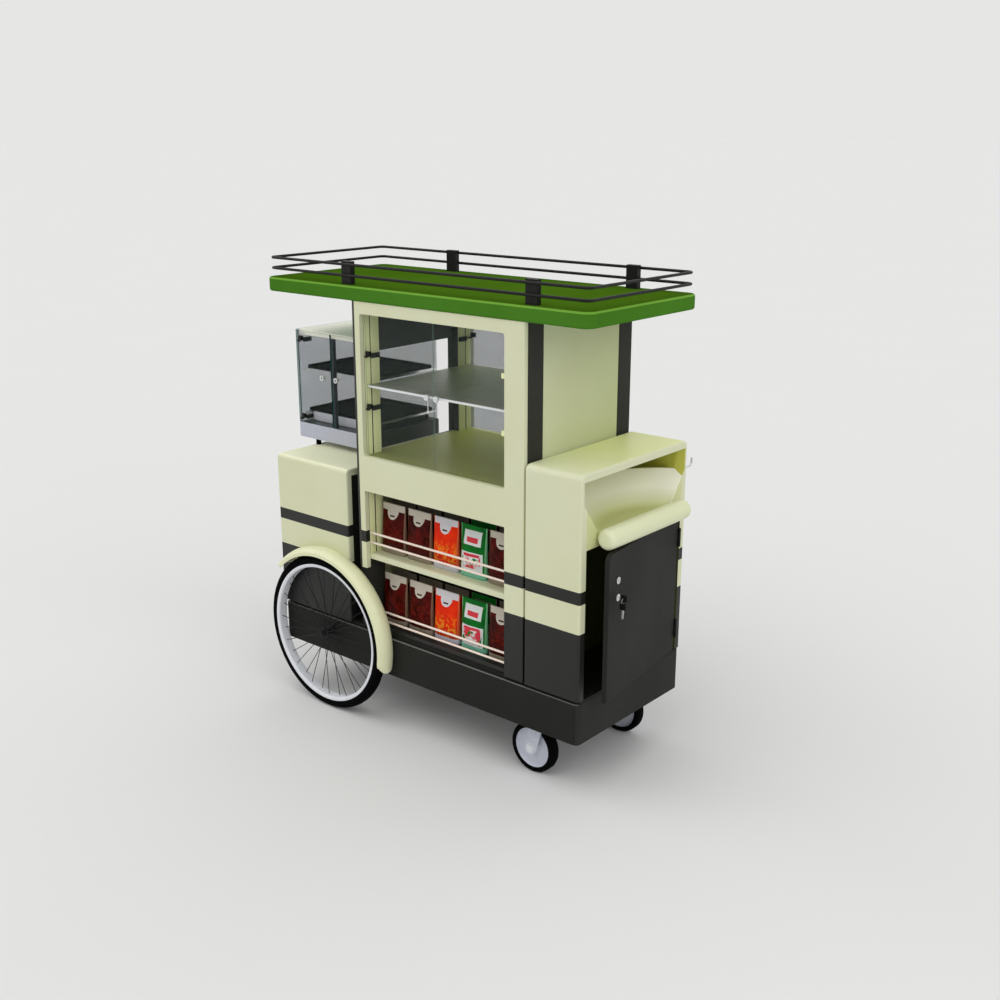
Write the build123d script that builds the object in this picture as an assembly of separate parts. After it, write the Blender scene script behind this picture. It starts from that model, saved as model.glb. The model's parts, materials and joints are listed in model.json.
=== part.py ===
from build123d import *
import os

os.makedirs("parts", exist_ok=True)

# Street candy cart: base on two spoked wheels and two swivel casters, a glazed
# display tower, two side cabinets, a food warmer and a railed roof.
# Millimetres, +Z up, +X towards the push handle, -Y towards the customer.
# The origin is on the floor, under the middle of the whole cart's box.

# Fits used all over the cart
running_fit = 0.05
face_gap = 0.5
hidden_gap = 1.0

# Base: skirt boards, deck and chassis tubes
base_x = -12.8
base_length = 1574.0
base_depth = 658.0
skirt_bottom = 220.0
skirt_height = 156.0
skirt_wall = 10.0
skirt_corner = 22.0
deck_thickness = 24.0
plinth_height = 14.0
plinth_inset = 16.0
rail_size = 40.0
rail_wall = 3.0
rail_side_inset = 79.0
bearer_width = 40.0
bearer_count = 5
bearer_margin = 90.0
caster_beam_length = 190.0
caster_beam_thickness = 22.0

# Big wheels, their axle and mudguards
wheel_radius = 330.0
wheel_inset = 305.0
wheel_stand_off = 36.0
tyre_width = 48.0
tyre_bead_width = 42.0
tyre_shoulder = 9.0
rim_outer = 295.0
rim_inner = 280.0
rim_width = 46.0
rim_edge_round = 8.0
spoke_count = 32
spoke_width = 3.0
spoke_rim_spread = 5.0
hub_flange_radius = 24.0
hub_flange_spread = 16.0
hub_flange_thickness = 5.0
hub_barrel_radius = 14.0
hub_length = 44.0
axle_radius = 8.0
axle_collar_radius = 13.0
axle_nut_width = 24.0
axle_nut_length = 10.0
axle_tip = 5.0
axle_block_length = 70.0
axle_block_width = 44.0
fender_crown = 366.0
fender_edge = 348.0
fender_lip = 334.0
fender_flange = 338.0
fender_skin = 3.5
fender_width = 75.0
fender_low_angle = -13.0
fender_arc = 152.0
fender_end_round = 32.0

# Swivel casters under the handle end
caster_inset = 232.0
caster_side_inset = 89.0
caster_trail = 28.0
caster_radius = 100.0
caster_width = 44.0
caster_tyre_depth = 21.0
caster_disc_width = 36.0
caster_disc_dish = 8.0
caster_disc_lip = 1.0
caster_hub_radius = 24.0
caster_hub_width = 52.0
caster_axle_radius = 6.0
caster_bolt_radius = 17.0
caster_bolt_head = 6.0
caster_height = 240.0
caster_plate_size = 110.0
caster_plate_thickness = 6.0
caster_plate_hole = 9.0
caster_plate_pitch = 80.0
caster_pin_radius = 9.0
caster_race_radius = 34.0
caster_race_height = 12.0
caster_fork_wall = 5.0
caster_fork_gap = 3.0
caster_leg_radius = 26.0
caster_crown_thickness = 7.0

# Display tower
tower_gap = 43.0
tower_setback = 4.0
tower_top = 1708.0
panel_thickness = 20.0
panel_edge_round = 4.0
window_left_stile = 40.0
window_right_stile = 88.0
window_bottom = 1110.0
window_head = 46.0
window_round = 10.0
bay_top = 969.0
leg_bottom = 647.0
pillar_depth = 80.0
pillar_proud_left = 18.0
pillar_proud_right = 5.0
pillar_groove = 2.0
pillar_groove_in = 33.0
rear_panel_inset = 12.0
infill_thickness = 18.0
infill_inset = 2.0
header_height = 203.0
pane_thickness = 6.0
floor_thickness = 15.0
display_shelf_share = 0.5
display_shelf_thickness = 9.0
display_shelf_margin = 12.5
display_shelf_bite = 6.0
display_shelf_rebate = 3.0
display_shelf_clear = 0.5

# Goods bays under the display
bay_depth = 245.0
bay_back_thickness = 12.0
upper_shelf_top = 705.0
upper_shelf_thickness = 22.0
lower_shelf_thickness = 18.0
wire_radius = 4.5
wire_setback = 7.0
wire_heights = (85.0, 45.0)
lower_wire_heights = (60.0, 21.0)
packet_count = 5
packet_rows = 2
packet_row_gap = 4.0
packet_margin = 11.0
packet_gap = 11.0
packet_height = 205.0
packet_depth = 50.0
packet_top_depth = 5.0
packet_foot_depth = 40.0
packet_belly_depth = 43.0
packet_bulge_height = 41.0
packet_belly_height = 113.0
packet_setback = 40.0

# Roof and its rail
roof_overhang = 18.0
roof_side_overhang = 2.0
roof_thickness = 56.0
roof_corner = 40.0
roof_edge_round = 9.0
post_left_out = 46.0
post_right_out = 11.0
post_width = 50.0
post_depth = 22.0
post_height = 86.0
post_socket = 8.0
rail_radius = 5.5
rail_heights = (34.0, 75.0)
rail_end_inset = 16.0
rail_edge_inset = 21.0
rail_bend = 20.0

# Side cabinets
left_cabinet_overhang = 7.0
left_cabinet_length = 421.0
left_cabinet_top = 1035.0
left_cabinet_wall = 28.0
left_cabinet_round = 18.0
left_end_round = 7.0
left_end_thickness = 12.0
left_end_inset = 6.0
right_cabinet_length = 250.0
right_cabinet_top = 1220.0
right_cabinet_wall = 33.0
right_cabinet_lid = 28.0
right_cabinet_round = 24.0
right_tower_round = 15.0
right_handle_round = 10.0

# Push handle: a scooped moulding with a roll grip
scoop_bottom = 948.0
scoop_top = 1112.0
scoop_wall = 10.0
scoop_floor = 985.0
scoop_reach = 207.0
scoop_side_bite = 44.0
scoop_lean = 85.0
scoop_floor_round = 45.0
grip_out = 43.0
grip_drop = 2.0
grip_radius = 38.0
grip_end_gap = 46.0
grip_end_round = 18.0

# Bag hook on the far wall
hook_height = 1107.0
hook_plate_width = 20.0
hook_plate_height = 28.0
hook_plate_thickness = 3.0
hook_rod_radius = 4.0
hook_reach = 48.0
hook_bend = 12.0
hook_tip = 18.0

# End door, its hinges and cam locks
door_rest_angle = 8.5
door_bottom = 394.0
door_top = 942.0
door_thickness = 18.0
door_near_gap = 14.0
door_hinge_gap = 6.0
door_corner_round = 26.0
hinge_in = 7.0
hinge_out = 5.0
hinge_heights = (480.0, 850.0)
hinge_length = 72.0
hinge_barrel_radius = 5.0
hinge_pin_radius = 2.5
hinge_leaf_width = 30.0
hinge_leaf_thickness = 2.0
lock_edge = 66.0
lock_heights = (836.0, 773.0)
lock_flange_radius = 13.0
lock_flange_thickness = 4.0
lock_barrel_radius = 10.0
lock_plug_radius = 6.5
lock_cam_engage = 4.0
lock_pocket_depth = 7.0
lock_pocket_margin = 3.0
lock_cam_width = 14.0
lock_cam_thickness = 3.0
key_bow_radius = 11.0
key_bow_thickness = 3.0
key_bow_hole = 3.0
key_stem_length = 10.0
key_stem_width = 5.0

# Glass doors: leaf, patch hinges and knobs
leaf_edge_gap = 4.0
leaf_meeting_gap = 4.0
leaf_end_gap = 4.0
display_leaf_setback = 5.0
pivot_gap = 9.0
pivot_pin_radius = 2.5
pivot_barrel_radius = 5.0
clamp_length = 20.0
clamp_height = 18.0
clamp_half_depth = 6.5
clamp_bite = 12.0
bracket_height = 6.0
bracket_half_depth = 5.0
bracket_arm_thickness = 3.0
bracket_block_start = 28.0
bracket_block_end = 70.0
bracket_block_thickness = 9.0
bracket_block_margin = 6.0
display_clamp_shares = (0.35, 0.726)
knob_radius = 11.0
knob_neck_radius = 6.0
knob_length = 16.0
display_knob_inset = 22.0
display_knob_share = 0.498

# Food warmer on the left cabinet
warmer_overhang = 85.0
warmer_width = 422.0
warmer_depth = 423.0
warmer_rear_inset = 36.0
warmer_foot_height = 26.0
warmer_foot_radius = 11.0
warmer_foot_inset = 20.0
warmer_foot_cabinet_inset = 16.0
warmer_base_height = 64.0
warmer_glass_height = 398.0
warmer_top_thickness = 22.0
warmer_top_setback = 14.0
warmer_top_round = 4.0
warmer_mullion = 16.0
warmer_mullion_gap = 4.0
warmer_clamp_low = 24.0
warmer_clamp_drop = 32.0
warmer_knob_inset = 40.0
warmer_knob_rise = 11.0
tray_length = 340.0
tray_height = 14.0
tray_wall = 2.5
tray_heights = (55.0, 240.0)
tray_rail = 10.0
tray_rail_width = 13.0
tray_margin = 3.0
warmer_base_sheet = 2.0

# Places that follow from the sizes above
base_left = base_x - base_length / 2
base_right = base_x + base_length / 2
base_front = -base_depth / 2
base_rear = base_depth / 2
skirt_top = skirt_bottom + skirt_height
deck_bottom = skirt_top - deck_thickness
body_bottom = skirt_top + plinth_height
rail_bottom = caster_height + caster_beam_thickness
rail_top = rail_bottom + rail_size
rail_spread = base_depth / 2 - rail_side_inset
wheel_x = base_left + wheel_inset
wheel_y = base_depth / 2 + wheel_stand_off
caster_x = base_right - caster_inset
caster_spread = base_depth / 2 - caster_side_inset
left_cabinet_x = base_left - left_cabinet_overhang
left_cabinet_end = left_cabinet_x + left_cabinet_length
pillar_left = left_cabinet_end + tower_gap
pillar_right = base_right - right_cabinet_length
tower_left = pillar_left + pillar_proud_left
tower_right = pillar_right - pillar_proud_right
tower_front = base_front + tower_setback
panel_back = tower_front + panel_thickness
window_left = tower_left + window_left_stile
window_right = tower_right - window_right_stile
window_top = tower_top - window_head
window_width = window_right - window_left
window_x = (window_left + window_right) / 2
pillar_front = panel_back
pillar_back = pillar_front + pillar_depth
infill_left = tower_left
infill_right = pillar_right - infill_inset
bay_left = infill_left + infill_thickness
bay_right = infill_right - infill_thickness
bay_back_front = panel_back + bay_depth
lower_shelf_top = body_bottom + lower_shelf_thickness
floor_bottom = window_bottom - floor_thickness
header_bottom = tower_top - header_height
display_shelf_top = window_bottom + display_shelf_share * (window_top - window_bottom)
packet_pitch = (window_width - packet_margin) / packet_count
packet_width = packet_pitch - packet_gap
roof_top = tower_top + roof_thickness
roof_length = base_length + 2 * roof_overhang
roof_depth = base_depth + 2 * roof_side_overhang
rail_half_length = roof_length / 2 - rail_end_inset
rail_half_depth = roof_depth / 2 - rail_edge_inset
right_wall_in = base_depth / 2 - right_cabinet_wall
hinge_x = base_right + hinge_out
hinge_y = right_wall_in - hinge_in
scoop_top_radius = right_wall_in + scoop_side_bite
scoop_floor_radius = scoop_top_radius - scoop_lean
grip_half_length = right_wall_in - grip_end_gap
warmer_left = base_left - warmer_overhang
warmer_right = warmer_left + warmer_width
warmer_x = (warmer_left + warmer_right) / 2
warmer_rear = base_rear - warmer_rear_inset
warmer_front = warmer_rear - warmer_depth
warmer_base_bottom = left_cabinet_top + warmer_foot_height
warmer_base_top = warmer_base_bottom + warmer_base_height
warmer_glass_top = warmer_base_top + warmer_glass_height
warmer_lid_bottom = warmer_glass_top - warmer_top_thickness

nodes = {}


def keep(name, *solids):
    """Store one node, a single piece or a group of separate pieces."""
    nodes[name] = solids[0] if len(solids) == 1 else Compound(children=list(solids))


def slab(x0, x1, y0, y1, z0, z1):
    """A board between two corners."""
    middle = Pos((x0 + x1) / 2, (y0 + y1) / 2, (z0 + z1) / 2)
    return middle * Box(x1 - x0, y1 - y0, z1 - z0)


def bar_x(y, z, radius, x0, x1):
    """A round bar along X."""
    return Pos((x0 + x1) / 2, y, z) * Rot(0, 90, 0) * Cylinder(radius, x1 - x0)


def bar_y(x, z, radius, y0, y1):
    """A round bar along Y."""
    return Pos(x, (y0 + y1) / 2, z) * Rot(90, 0, 0) * Cylinder(radius, y1 - y0)


def bar_z(x, y, radius, z0, z1):
    """A round bar along Z."""
    return Pos(x, y, (z0 + z1) / 2) * Cylinder(radius, z1 - z0)


def other_side(shape):
    """The same piece on the far side of the cart."""
    return mirror(shape, about=Plane.XZ)


def other_hand(shape):
    """The same piece hung on the opposite jamb."""
    return mirror(shape, about=Plane.YZ)


# Skirt: four flat boards between quarter-round corner posts
axle_hole = axle_radius + hidden_gap
front_board = slab(base_left + skirt_corner, base_right - skirt_corner,
                   base_front, base_front + skirt_wall, skirt_bottom, skirt_top)
front_board -= bar_y(wheel_x, wheel_radius, axle_hole, base_front, base_front + skirt_wall)
left_board = slab(base_left, base_left + skirt_wall, base_front + skirt_corner,
                  base_rear - skirt_corner, skirt_bottom, skirt_top)
right_board = Pos(base_length - skirt_wall, 0, 0) * left_board

corner_ring = Circle(skirt_corner) - Circle(skirt_corner - skirt_wall)
corner_quarter = Pos(-skirt_corner / 2, -skirt_corner / 2) * Rectangle(skirt_corner, skirt_corner)
corner_face = corner_ring & corner_quarter
corner_post = extrude(corner_face, skirt_height)
near_left_corner = Pos(base_left + skirt_corner, base_front + skirt_corner, skirt_bottom) * corner_post
right_corner_place = Pos(base_right - skirt_corner, base_front + skirt_corner, skirt_bottom)
near_right_corner = right_corner_place * Rot(0, 0, 90) * corner_post
keep("skirt", front_board, other_side(front_board), left_board, right_board,
     near_left_corner, near_right_corner,
     other_side(near_left_corner), other_side(near_right_corner))

# Deck with a raised plinth that leaves a shadow gap under the bodies
deck_face = RectangleRounded(base_length - 2 * skirt_wall, base_depth - 2 * skirt_wall,
                             skirt_corner - skirt_wall)
deck = Pos(base_x, 0, deck_bottom) * extrude(deck_face, deck_thickness)
plinth_start = base_left + plinth_inset
deck += slab(plinth_start, base_right, base_front + plinth_inset, base_rear - plinth_inset,
             skirt_top, body_bottom)
keep("deck", deck)

# Chassis: two long tubes, cross bearers, a caster beam and the axle blocks
rail_bore = rail_size - 2 * rail_wall
tube_face = Rectangle(rail_size, rail_size) - Rectangle(rail_bore, rail_bore)
tube_length = base_length - 2 * skirt_wall
long_tube = extrude(Plane.YZ * tube_face, tube_length)
near_tube = Pos(base_left + skirt_wall, -rail_spread, (rail_bottom + rail_top) / 2) * long_tube
bearer_reach = base_depth / 2 - skirt_wall
bearer_step = (base_length - 2 * bearer_margin) / (bearer_count - 1)
bearers = []
for index in range(bearer_count):
    bearer_x = base_left + bearer_margin + index * bearer_step
    bearers.append(slab(bearer_x - bearer_width / 2, bearer_x + bearer_width / 2,
                        -bearer_reach, bearer_reach, rail_top, deck_bottom))
caster_beam = slab(caster_x - caster_beam_length / 2, caster_x + caster_beam_length / 2,
                   -bearer_reach, bearer_reach, caster_height, rail_bottom)
axle_block = slab(wheel_x - axle_block_length / 2, wheel_x + axle_block_length / 2,
                  -rail_spread - axle_block_width / 2, -rail_spread + axle_block_width / 2,
                  rail_top, deck_bottom)
axle_block -= bar_y(wheel_x, wheel_radius, axle_radius + running_fit, -base_depth / 2, 0)
keep("chassis_frame", near_tube, other_side(near_tube), *bearers, caster_beam,
     axle_block, other_side(axle_block))

# Through axle with a collar inside each hub and a nut outside it
hub_inside = wheel_y - hub_length / 2
hub_outside = wheel_y + hub_length / 2
nut_inside = hub_outside + hidden_gap
axle_end = nut_inside + axle_nut_length + axle_tip
axle = bar_y(wheel_x, wheel_radius, axle_radius, -axle_end, axle_end)
nut_face = RegularPolygon(axle_nut_width / 2, 6, major_radius=False)
nut = Pos(wheel_x, -nut_inside, wheel_radius) * Rot(90, 0, 0) * extrude(nut_face, axle_nut_length)
collar = bar_y(wheel_x, wheel_radius, axle_collar_radius, base_rear, hub_inside - hidden_gap)
axle += [nut, other_side(nut), collar, other_side(collar)]
keep("axle", axle)


def turned(face):
    """Spin a section drawn as (radius, axial distance) round the wheel's axis."""
    return revolve(face, Axis.Y)


# Spoked wheel, drawn round its own centre with the axle along Y
bead = tyre_bead_width / 2
side_radius = (rim_outer + wheel_radius - tyre_shoulder) / 2
shoulder_radius = wheel_radius - tyre_shoulder
tyre_line = ThreePointArc((rim_outer, -bead), (side_radius, -tyre_width / 2), (shoulder_radius, -bead))
tyre_line += ThreePointArc((shoulder_radius, -bead), (wheel_radius, 0), (shoulder_radius, bead))
tyre_line += ThreePointArc((shoulder_radius, bead), (side_radius, tyre_width / 2), (rim_outer, bead))
tyre_line += Line((rim_outer, bead), (rim_outer, -bead))
wheel_tyre = turned(make_face(tyre_line))

rim_face = Pos((rim_outer + rim_inner) / 2, 0) * Rectangle(rim_outer - rim_inner, rim_width)
rim_face = fillet(rim_face.vertices().group_by(Axis.X)[0], rim_edge_round)
wheel_rim = turned(rim_face)

hub = bar_y(0, 0, hub_barrel_radius, -hub_length / 2, hub_length / 2)
for flange_y in (-hub_flange_spread, hub_flange_spread):
    hub += bar_y(0, 0, hub_flange_radius, flange_y - hub_flange_thickness / 2,
                 flange_y + hub_flange_thickness / 2)
hub -= bar_y(0, 0, axle_radius + running_fit, -hub_length, hub_length)

spoke_face = RegularPolygon(spoke_width / 2, 6)
spokes = []
for side in (-1, 1):
    spoke_foot = Vector(hub_flange_radius - spoke_width, side * hub_flange_spread, 0)
    spoke_head = Vector(rim_inner + spoke_width, side * spoke_rim_spread, 0)
    spoke_run = spoke_head - spoke_foot
    spoke = extrude(Plane(spoke_foot, z_dir=spoke_run) * spoke_face, spoke_run.length)
    spoke = spoke - hub - wheel_rim
    for index in range(spoke_count // 2):
        turn = (2 * index + (side + 1) / 2) * 360 / spoke_count
        spokes.append(Rot(0, turn, 0) * spoke)

for place, side in (("near", -1), ("far", 1)):
    at_axle = Pos(wheel_x, side * wheel_y, wheel_radius)
    keep(place + "_tyre", at_axle * wheel_tyre)
    keep(place + "_rim", at_axle * wheel_rim)
    keep(place + "_hub_and_spokes", at_axle * hub, *[at_axle * spoke for spoke in spokes])

# Mudguard: a crowned section with a rolled lip and a fixing flange, swept round the wheel
fender_back = -base_depth / 2
fender_front = fender_back - fender_width
fender_mid = fender_back - fender_width / 2
skin = fender_skin
fender_line = Line((fender_lip, fender_front), (fender_edge, fender_front))
fender_line += ThreePointArc((fender_edge, fender_front), (fender_crown, fender_mid),
                             (fender_edge, fender_back))
fender_line += Line((fender_edge, fender_back), (fender_flange, fender_back))
fender_line += Line((fender_flange, fender_back), (fender_flange, fender_back - skin))
fender_line += Line((fender_flange, fender_back - skin), (fender_edge - skin, fender_back - skin))
fender_line += ThreePointArc((fender_edge - skin, fender_back - skin),
                             (fender_crown - skin, fender_mid),
                             (fender_edge - skin, fender_front + skin))
fender_line += Line((fender_edge - skin, fender_front + skin), (fender_lip, fender_front + skin))
fender_line += Line((fender_lip, fender_front + skin), (fender_lip, fender_front))
fender = revolve(make_face(fender_line), Axis((0, 0, 0), (0, -1, 0)), fender_arc)
end_in = fender_crown - fender_end_round
end_out = fender_crown + fender_end_round
end_keep = slab(end_in, end_out, fender_front, fender_back, 0, 2 * fender_end_round)
end_keep = fillet(end_keep.edges().filter_by(Axis.X).group_by(Axis.Z)[0], fender_end_round)
end_block = slab(end_in - skin, end_out + skin, fender_front - skin, fender_back + skin,
                 0, fender_end_round)
end_cut = end_block - end_keep
fender -= end_cut
fender -= Rot(0, -fender_arc, 0) * mirror(end_cut, about=Plane.XY)
near_fender = Pos(wheel_x, 0, wheel_radius) * Rot(0, -fender_low_angle, 0) * fender
keep("near_fender", near_fender)
keep("far_fender", other_side(near_fender))

# Caster: plate and kingpin on the beam, fork that swivels, wheel that turns in the fork
fork_inner = caster_width / 2 + caster_fork_gap
fork_outer = fork_inner + caster_fork_wall
plate_bottom = caster_height - caster_plate_thickness
race_bottom = plate_bottom - caster_race_height
crown_bottom = race_bottom - caster_crown_thickness
plate_face = RectangleRounded(caster_plate_size, caster_plate_size, caster_plate_hole)
plate_face -= GridLocations(caster_plate_pitch, caster_plate_pitch, 2, 2) * Circle(caster_plate_hole / 2)
caster_plate = Pos(0, 0, plate_bottom) * extrude(plate_face, caster_plate_thickness)
caster_plate += bar_z(0, 0, caster_race_radius, race_bottom + face_gap, plate_bottom)
caster_plate += bar_z(0, 0, caster_pin_radius, crown_bottom, plate_bottom)

crown_face = RectangleRounded(2 * fork_outer, 2 * fork_outer, caster_fork_wall)
crown = Pos(0, 0, crown_bottom) * extrude(crown_face, caster_crown_thickness)
leg_foot = Pos(caster_trail, caster_radius) * Circle(caster_leg_radius)
leg_head = Pos(0, crown_bottom) * Rectangle(2 * fork_outer, 2 * caster_crown_thickness)
leg_face = make_hull(leg_foot.edges() + leg_head.edges())
leg_face &= Pos(0, race_bottom / 2) * Rectangle(2 * caster_radius, race_bottom)
leg = Pos(0, -fork_inner, 0) * extrude(Plane.XZ * leg_face, caster_fork_wall)
bolt = bar_y(caster_trail, caster_radius, caster_axle_radius, -fork_outer, fork_outer)
bolt_head = bar_y(caster_trail, caster_radius, caster_bolt_radius,
                  -fork_outer - caster_bolt_head, -fork_outer)
fork = crown + leg + other_side(leg) + bolt + bolt_head + other_side(bolt_head)
fork -= bar_z(0, 0, caster_pin_radius + running_fit, crown_bottom, race_bottom)

tread_round = caster_tyre_depth / 2
disc_radius = caster_radius - caster_tyre_depth
tread_middle = caster_radius - caster_tyre_depth / 2
caster_tyre_face = Pos(tread_middle, 0) * Rectangle(caster_tyre_depth, caster_width)
caster_tyre_face = fillet(caster_tyre_face.vertices().group_by(Axis.X)[-1], tread_round)
caster_tyre = turned(caster_tyre_face)
half_rim = caster_disc_width / 2
half_web = half_rim - caster_disc_dish
half_hub = caster_hub_width / 2 - caster_fork_gap
web_outer = disc_radius - caster_disc_dish
web_inner = caster_hub_radius + caster_disc_dish
disc_side = Polyline((caster_axle_radius + running_fit, half_hub), (caster_hub_radius, half_hub),
                     (web_inner, half_web), (web_outer, half_web),
                     (disc_radius - caster_disc_lip, half_rim), (disc_radius, half_rim))
disc_half = make_face(disc_side + Polyline((disc_radius, half_rim), (disc_radius, 0),
                                           (caster_axle_radius + running_fit, 0),
                                           (caster_axle_radius + running_fit, half_hub)))
caster_disc = turned(disc_half + mirror(disc_half, about=Plane.XZ))

plates = []
for place, side, heading in (("near", -1, 180), ("far", 1, 0)):
    at_pin = Pos(caster_x, side * caster_spread, 0)
    at_wheel = at_pin * Rot(0, 0, heading) * Pos(caster_trail, 0, caster_radius)
    plates.append(at_pin * caster_plate)
    keep(place + "_caster_fork", at_pin * Rot(0, 0, heading) * fork)
    keep(place + "_caster_tyre", at_wheel * caster_tyre)
    keep(place + "_caster_disc", at_wheel * caster_disc)
keep("caster_plates", *plates)

# Tower posts, one at each corner, with slots that carry the rebated ends of the display shelf
shelf_front = panel_back + display_shelf_margin
shelf_bottom = display_shelf_top - display_shelf_thickness
shelf_tongue = slab(window_left - display_shelf_bite, window_right + display_shelf_bite,
                    shelf_front, -shelf_front, shelf_bottom, display_shelf_top - display_shelf_rebate)
display_shelf = shelf_tongue + slab(window_left + display_shelf_clear, window_right - display_shelf_clear,
                                    shelf_front, -shelf_front, shelf_bottom, display_shelf_top)
groove_y = pillar_front + pillar_groove_in
post_grooves = slab(window_left - pillar_groove, window_right + pillar_groove, groove_y,
                    groove_y + pillar_groove, body_bottom, tower_top)
left_post = slab(pillar_left, window_left, pillar_front, pillar_back, body_bottom, tower_top)
left_post = left_post - shelf_tongue - post_grooves
right_post = slab(window_right, pillar_right, pillar_front, pillar_back, body_bottom, tower_top)
right_post = right_post - shelf_tongue - post_grooves
keep("corner_posts", left_post, right_post, other_side(left_post), other_side(right_post))

# Front panel: window above, open goods bay below, short left leg
window_height = window_top - window_bottom
window_middle = Pos(window_x, (window_top + window_bottom) / 2)
window_hole = window_middle * RectangleRounded(window_width, window_height, window_round)
front_outline = Polyline((tower_left, leg_bottom), (window_left, leg_bottom), (window_left, bay_top),
                         (window_right, bay_top), (window_right, body_bottom), (tower_right, body_bottom),
                         (tower_right, tower_top), (tower_left, tower_top), close=True)
front_panel = extrude(Plane.XZ * (make_face(front_outline) - window_hole), panel_thickness)
outer_corners = front_panel.edges().filter_by(Axis.Z).group_by(Axis.Y)[0]
side_corners = outer_corners.group_by(Axis.X)[0] + outer_corners.group_by(Axis.X)[-1]
front_panel = fillet(side_corners, panel_edge_round)
keep("front_panel", Pos(0, panel_back, 0) * front_panel)

# Rear panel: the same window, closed below
rear_height = tower_top - body_bottom
rear_right = tower_right - rear_panel_inset
rear_middle = Pos((tower_left + rear_right) / 2, body_bottom + rear_height / 2)
rear_face = rear_middle * Rectangle(rear_right - tower_left, rear_height) - window_hole
rear_panel = extrude(Plane.XZ * rear_face, panel_thickness)
keep("rear_panel", Pos(0, -tower_front, 0) * rear_panel)

# Infill boards between the posts, and the glass on the warmer's side
right_infill = slab(bay_right, infill_right, pillar_back, -pillar_back, body_bottom, tower_top)
left_infill = slab(infill_left, bay_left, pillar_back, -pillar_back, body_bottom, window_bottom)
left_header = slab(infill_left, bay_left, pillar_back, -pillar_back, header_bottom, tower_top)
keep("side_panels", right_infill, left_infill, left_header)
pane_x = (infill_left + bay_left) / 2
tower_pane = slab(pane_x - pane_thickness / 2, pane_x + pane_thickness / 2, pillar_back, -pillar_back,
                  window_bottom, header_bottom)

# Display floor and shelf
posts = nodes["corner_posts"]
display_floor = slab(bay_left, bay_right, panel_back, -panel_back, floor_bottom, window_bottom)
for post in posts.solids():
    display_floor -= post
keep("display_floor", display_floor)
keep("display_shelf", display_shelf)

# Goods bays: back board, two shelves, guard wires and the packets
keep("bay_back", slab(bay_left, bay_right, bay_back_front, bay_back_front + bay_back_thickness,
                      body_bottom, floor_bottom))
shelves = []
for top, thickness in ((upper_shelf_top, upper_shelf_thickness), (lower_shelf_top, lower_shelf_thickness)):
    shelf = slab(bay_left, bay_right, panel_back, bay_back_front, top - thickness, top)
    shelf = shelf - left_post - right_post
    shelves.append(shelf)
keep("product_shelves", *shelves)
wire_y = panel_back + wire_setback
wires = []
for top, heights in ((upper_shelf_top, wire_heights), (lower_shelf_top, lower_wire_heights)):
    for height in heights:
        wires.append(bar_x(wire_y, top + height, wire_radius, window_left, window_right))
keep("guard_wires", *wires)

packet_y = panel_back + packet_setback + packet_depth / 2
packet_row_step = packet_depth + packet_row_gap
packet = loft([Rectangle(packet_width, packet_foot_depth),
               Pos(0, 0, packet_bulge_height) * Rectangle(packet_width, packet_depth),
               Pos(0, 0, packet_belly_height) * Rectangle(packet_width, packet_belly_depth),
               Pos(0, 0, packet_height) * Rectangle(packet_width, packet_top_depth)], ruled=True)
packets = []
for top in (upper_shelf_top, lower_shelf_top):
    for row in range(packet_rows):
        for index in range(packet_count):
            packet_x = window_x + (index - (packet_count - 1) / 2) * packet_pitch
            packets.append(Pos(packet_x, packet_y + row * packet_row_step, top) * packet)
keep("packets", *packets)

# Roof slab and its double rail, whose posts stand in sockets
roof = extrude(RectangleRounded(roof_length, roof_depth, roof_corner), roof_thickness)
roof_rims = roof.faces().sort_by(Axis.Z)[0].edges() + roof.faces().sort_by(Axis.Z)[-1].edges()
roof = fillet(roof_rims, roof_edge_round)
roof = Pos(base_x, 0, tower_top) * roof
post_outer = rail_half_depth - rail_radius
rail_posts = []
for post_x in (tower_left - post_left_out, tower_right + post_right_out):
    rail_post = slab(post_x - post_width / 2, post_x + post_width / 2,
                     -post_outer, -post_outer + post_depth,
                     roof_top - post_socket, roof_top + post_height)
    rail_posts += [rail_post, other_side(rail_post)]
roof -= rail_posts
keep("roof", roof)

rail_run_x = rail_half_length - rail_bend
rail_run_y = rail_half_depth - rail_bend
elbow = revolve(Pos(rail_bend, 0) * Circle(rail_radius), Axis.Y, 90)
elbow = Rot(90, 0, 0) * elbow
rails = []
for height in rail_heights:
    rail_z = roof_top + height
    for side in (-1, 1):
        rails.append(bar_x(side * rail_half_depth, rail_z, rail_radius,
                           base_x - rail_run_x, base_x + rail_run_x))
        rails.append(bar_y(base_x + side * rail_half_length, rail_z, rail_radius, -rail_run_y, rail_run_y))
    for quarter, (end, side) in enumerate(((1, 1), (-1, 1), (-1, -1), (1, -1))):
        corner = Pos(base_x + end * rail_run_x, side * rail_run_y, rail_z) * Rot(0, 0, 90 * quarter)
        rails.append(corner * elbow)
keep("roof_rail", *rail_posts, *rails)


def arch(depth, height, wall, lid, corner, length, start_round, end_round):
    """An upside-down trough with rounded outer edges, run along X from the origin."""
    outer = Pos(0, height / 2) * Rectangle(depth, height)
    outer = fillet(outer.vertices().group_by(Axis.Y)[-1], corner)
    block = extrude(Plane.YZ * outer, length)
    for end, radius in ((0, start_round), (-1, end_round)):
        rim = block.faces().sort_by(Axis.X)[end].edges().sort_by(Axis.Z)[1:]
        block = fillet(rim, radius)
    return block - slab(0, length, wall - depth / 2, depth / 2 - wall, 0, height - lid)


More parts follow.
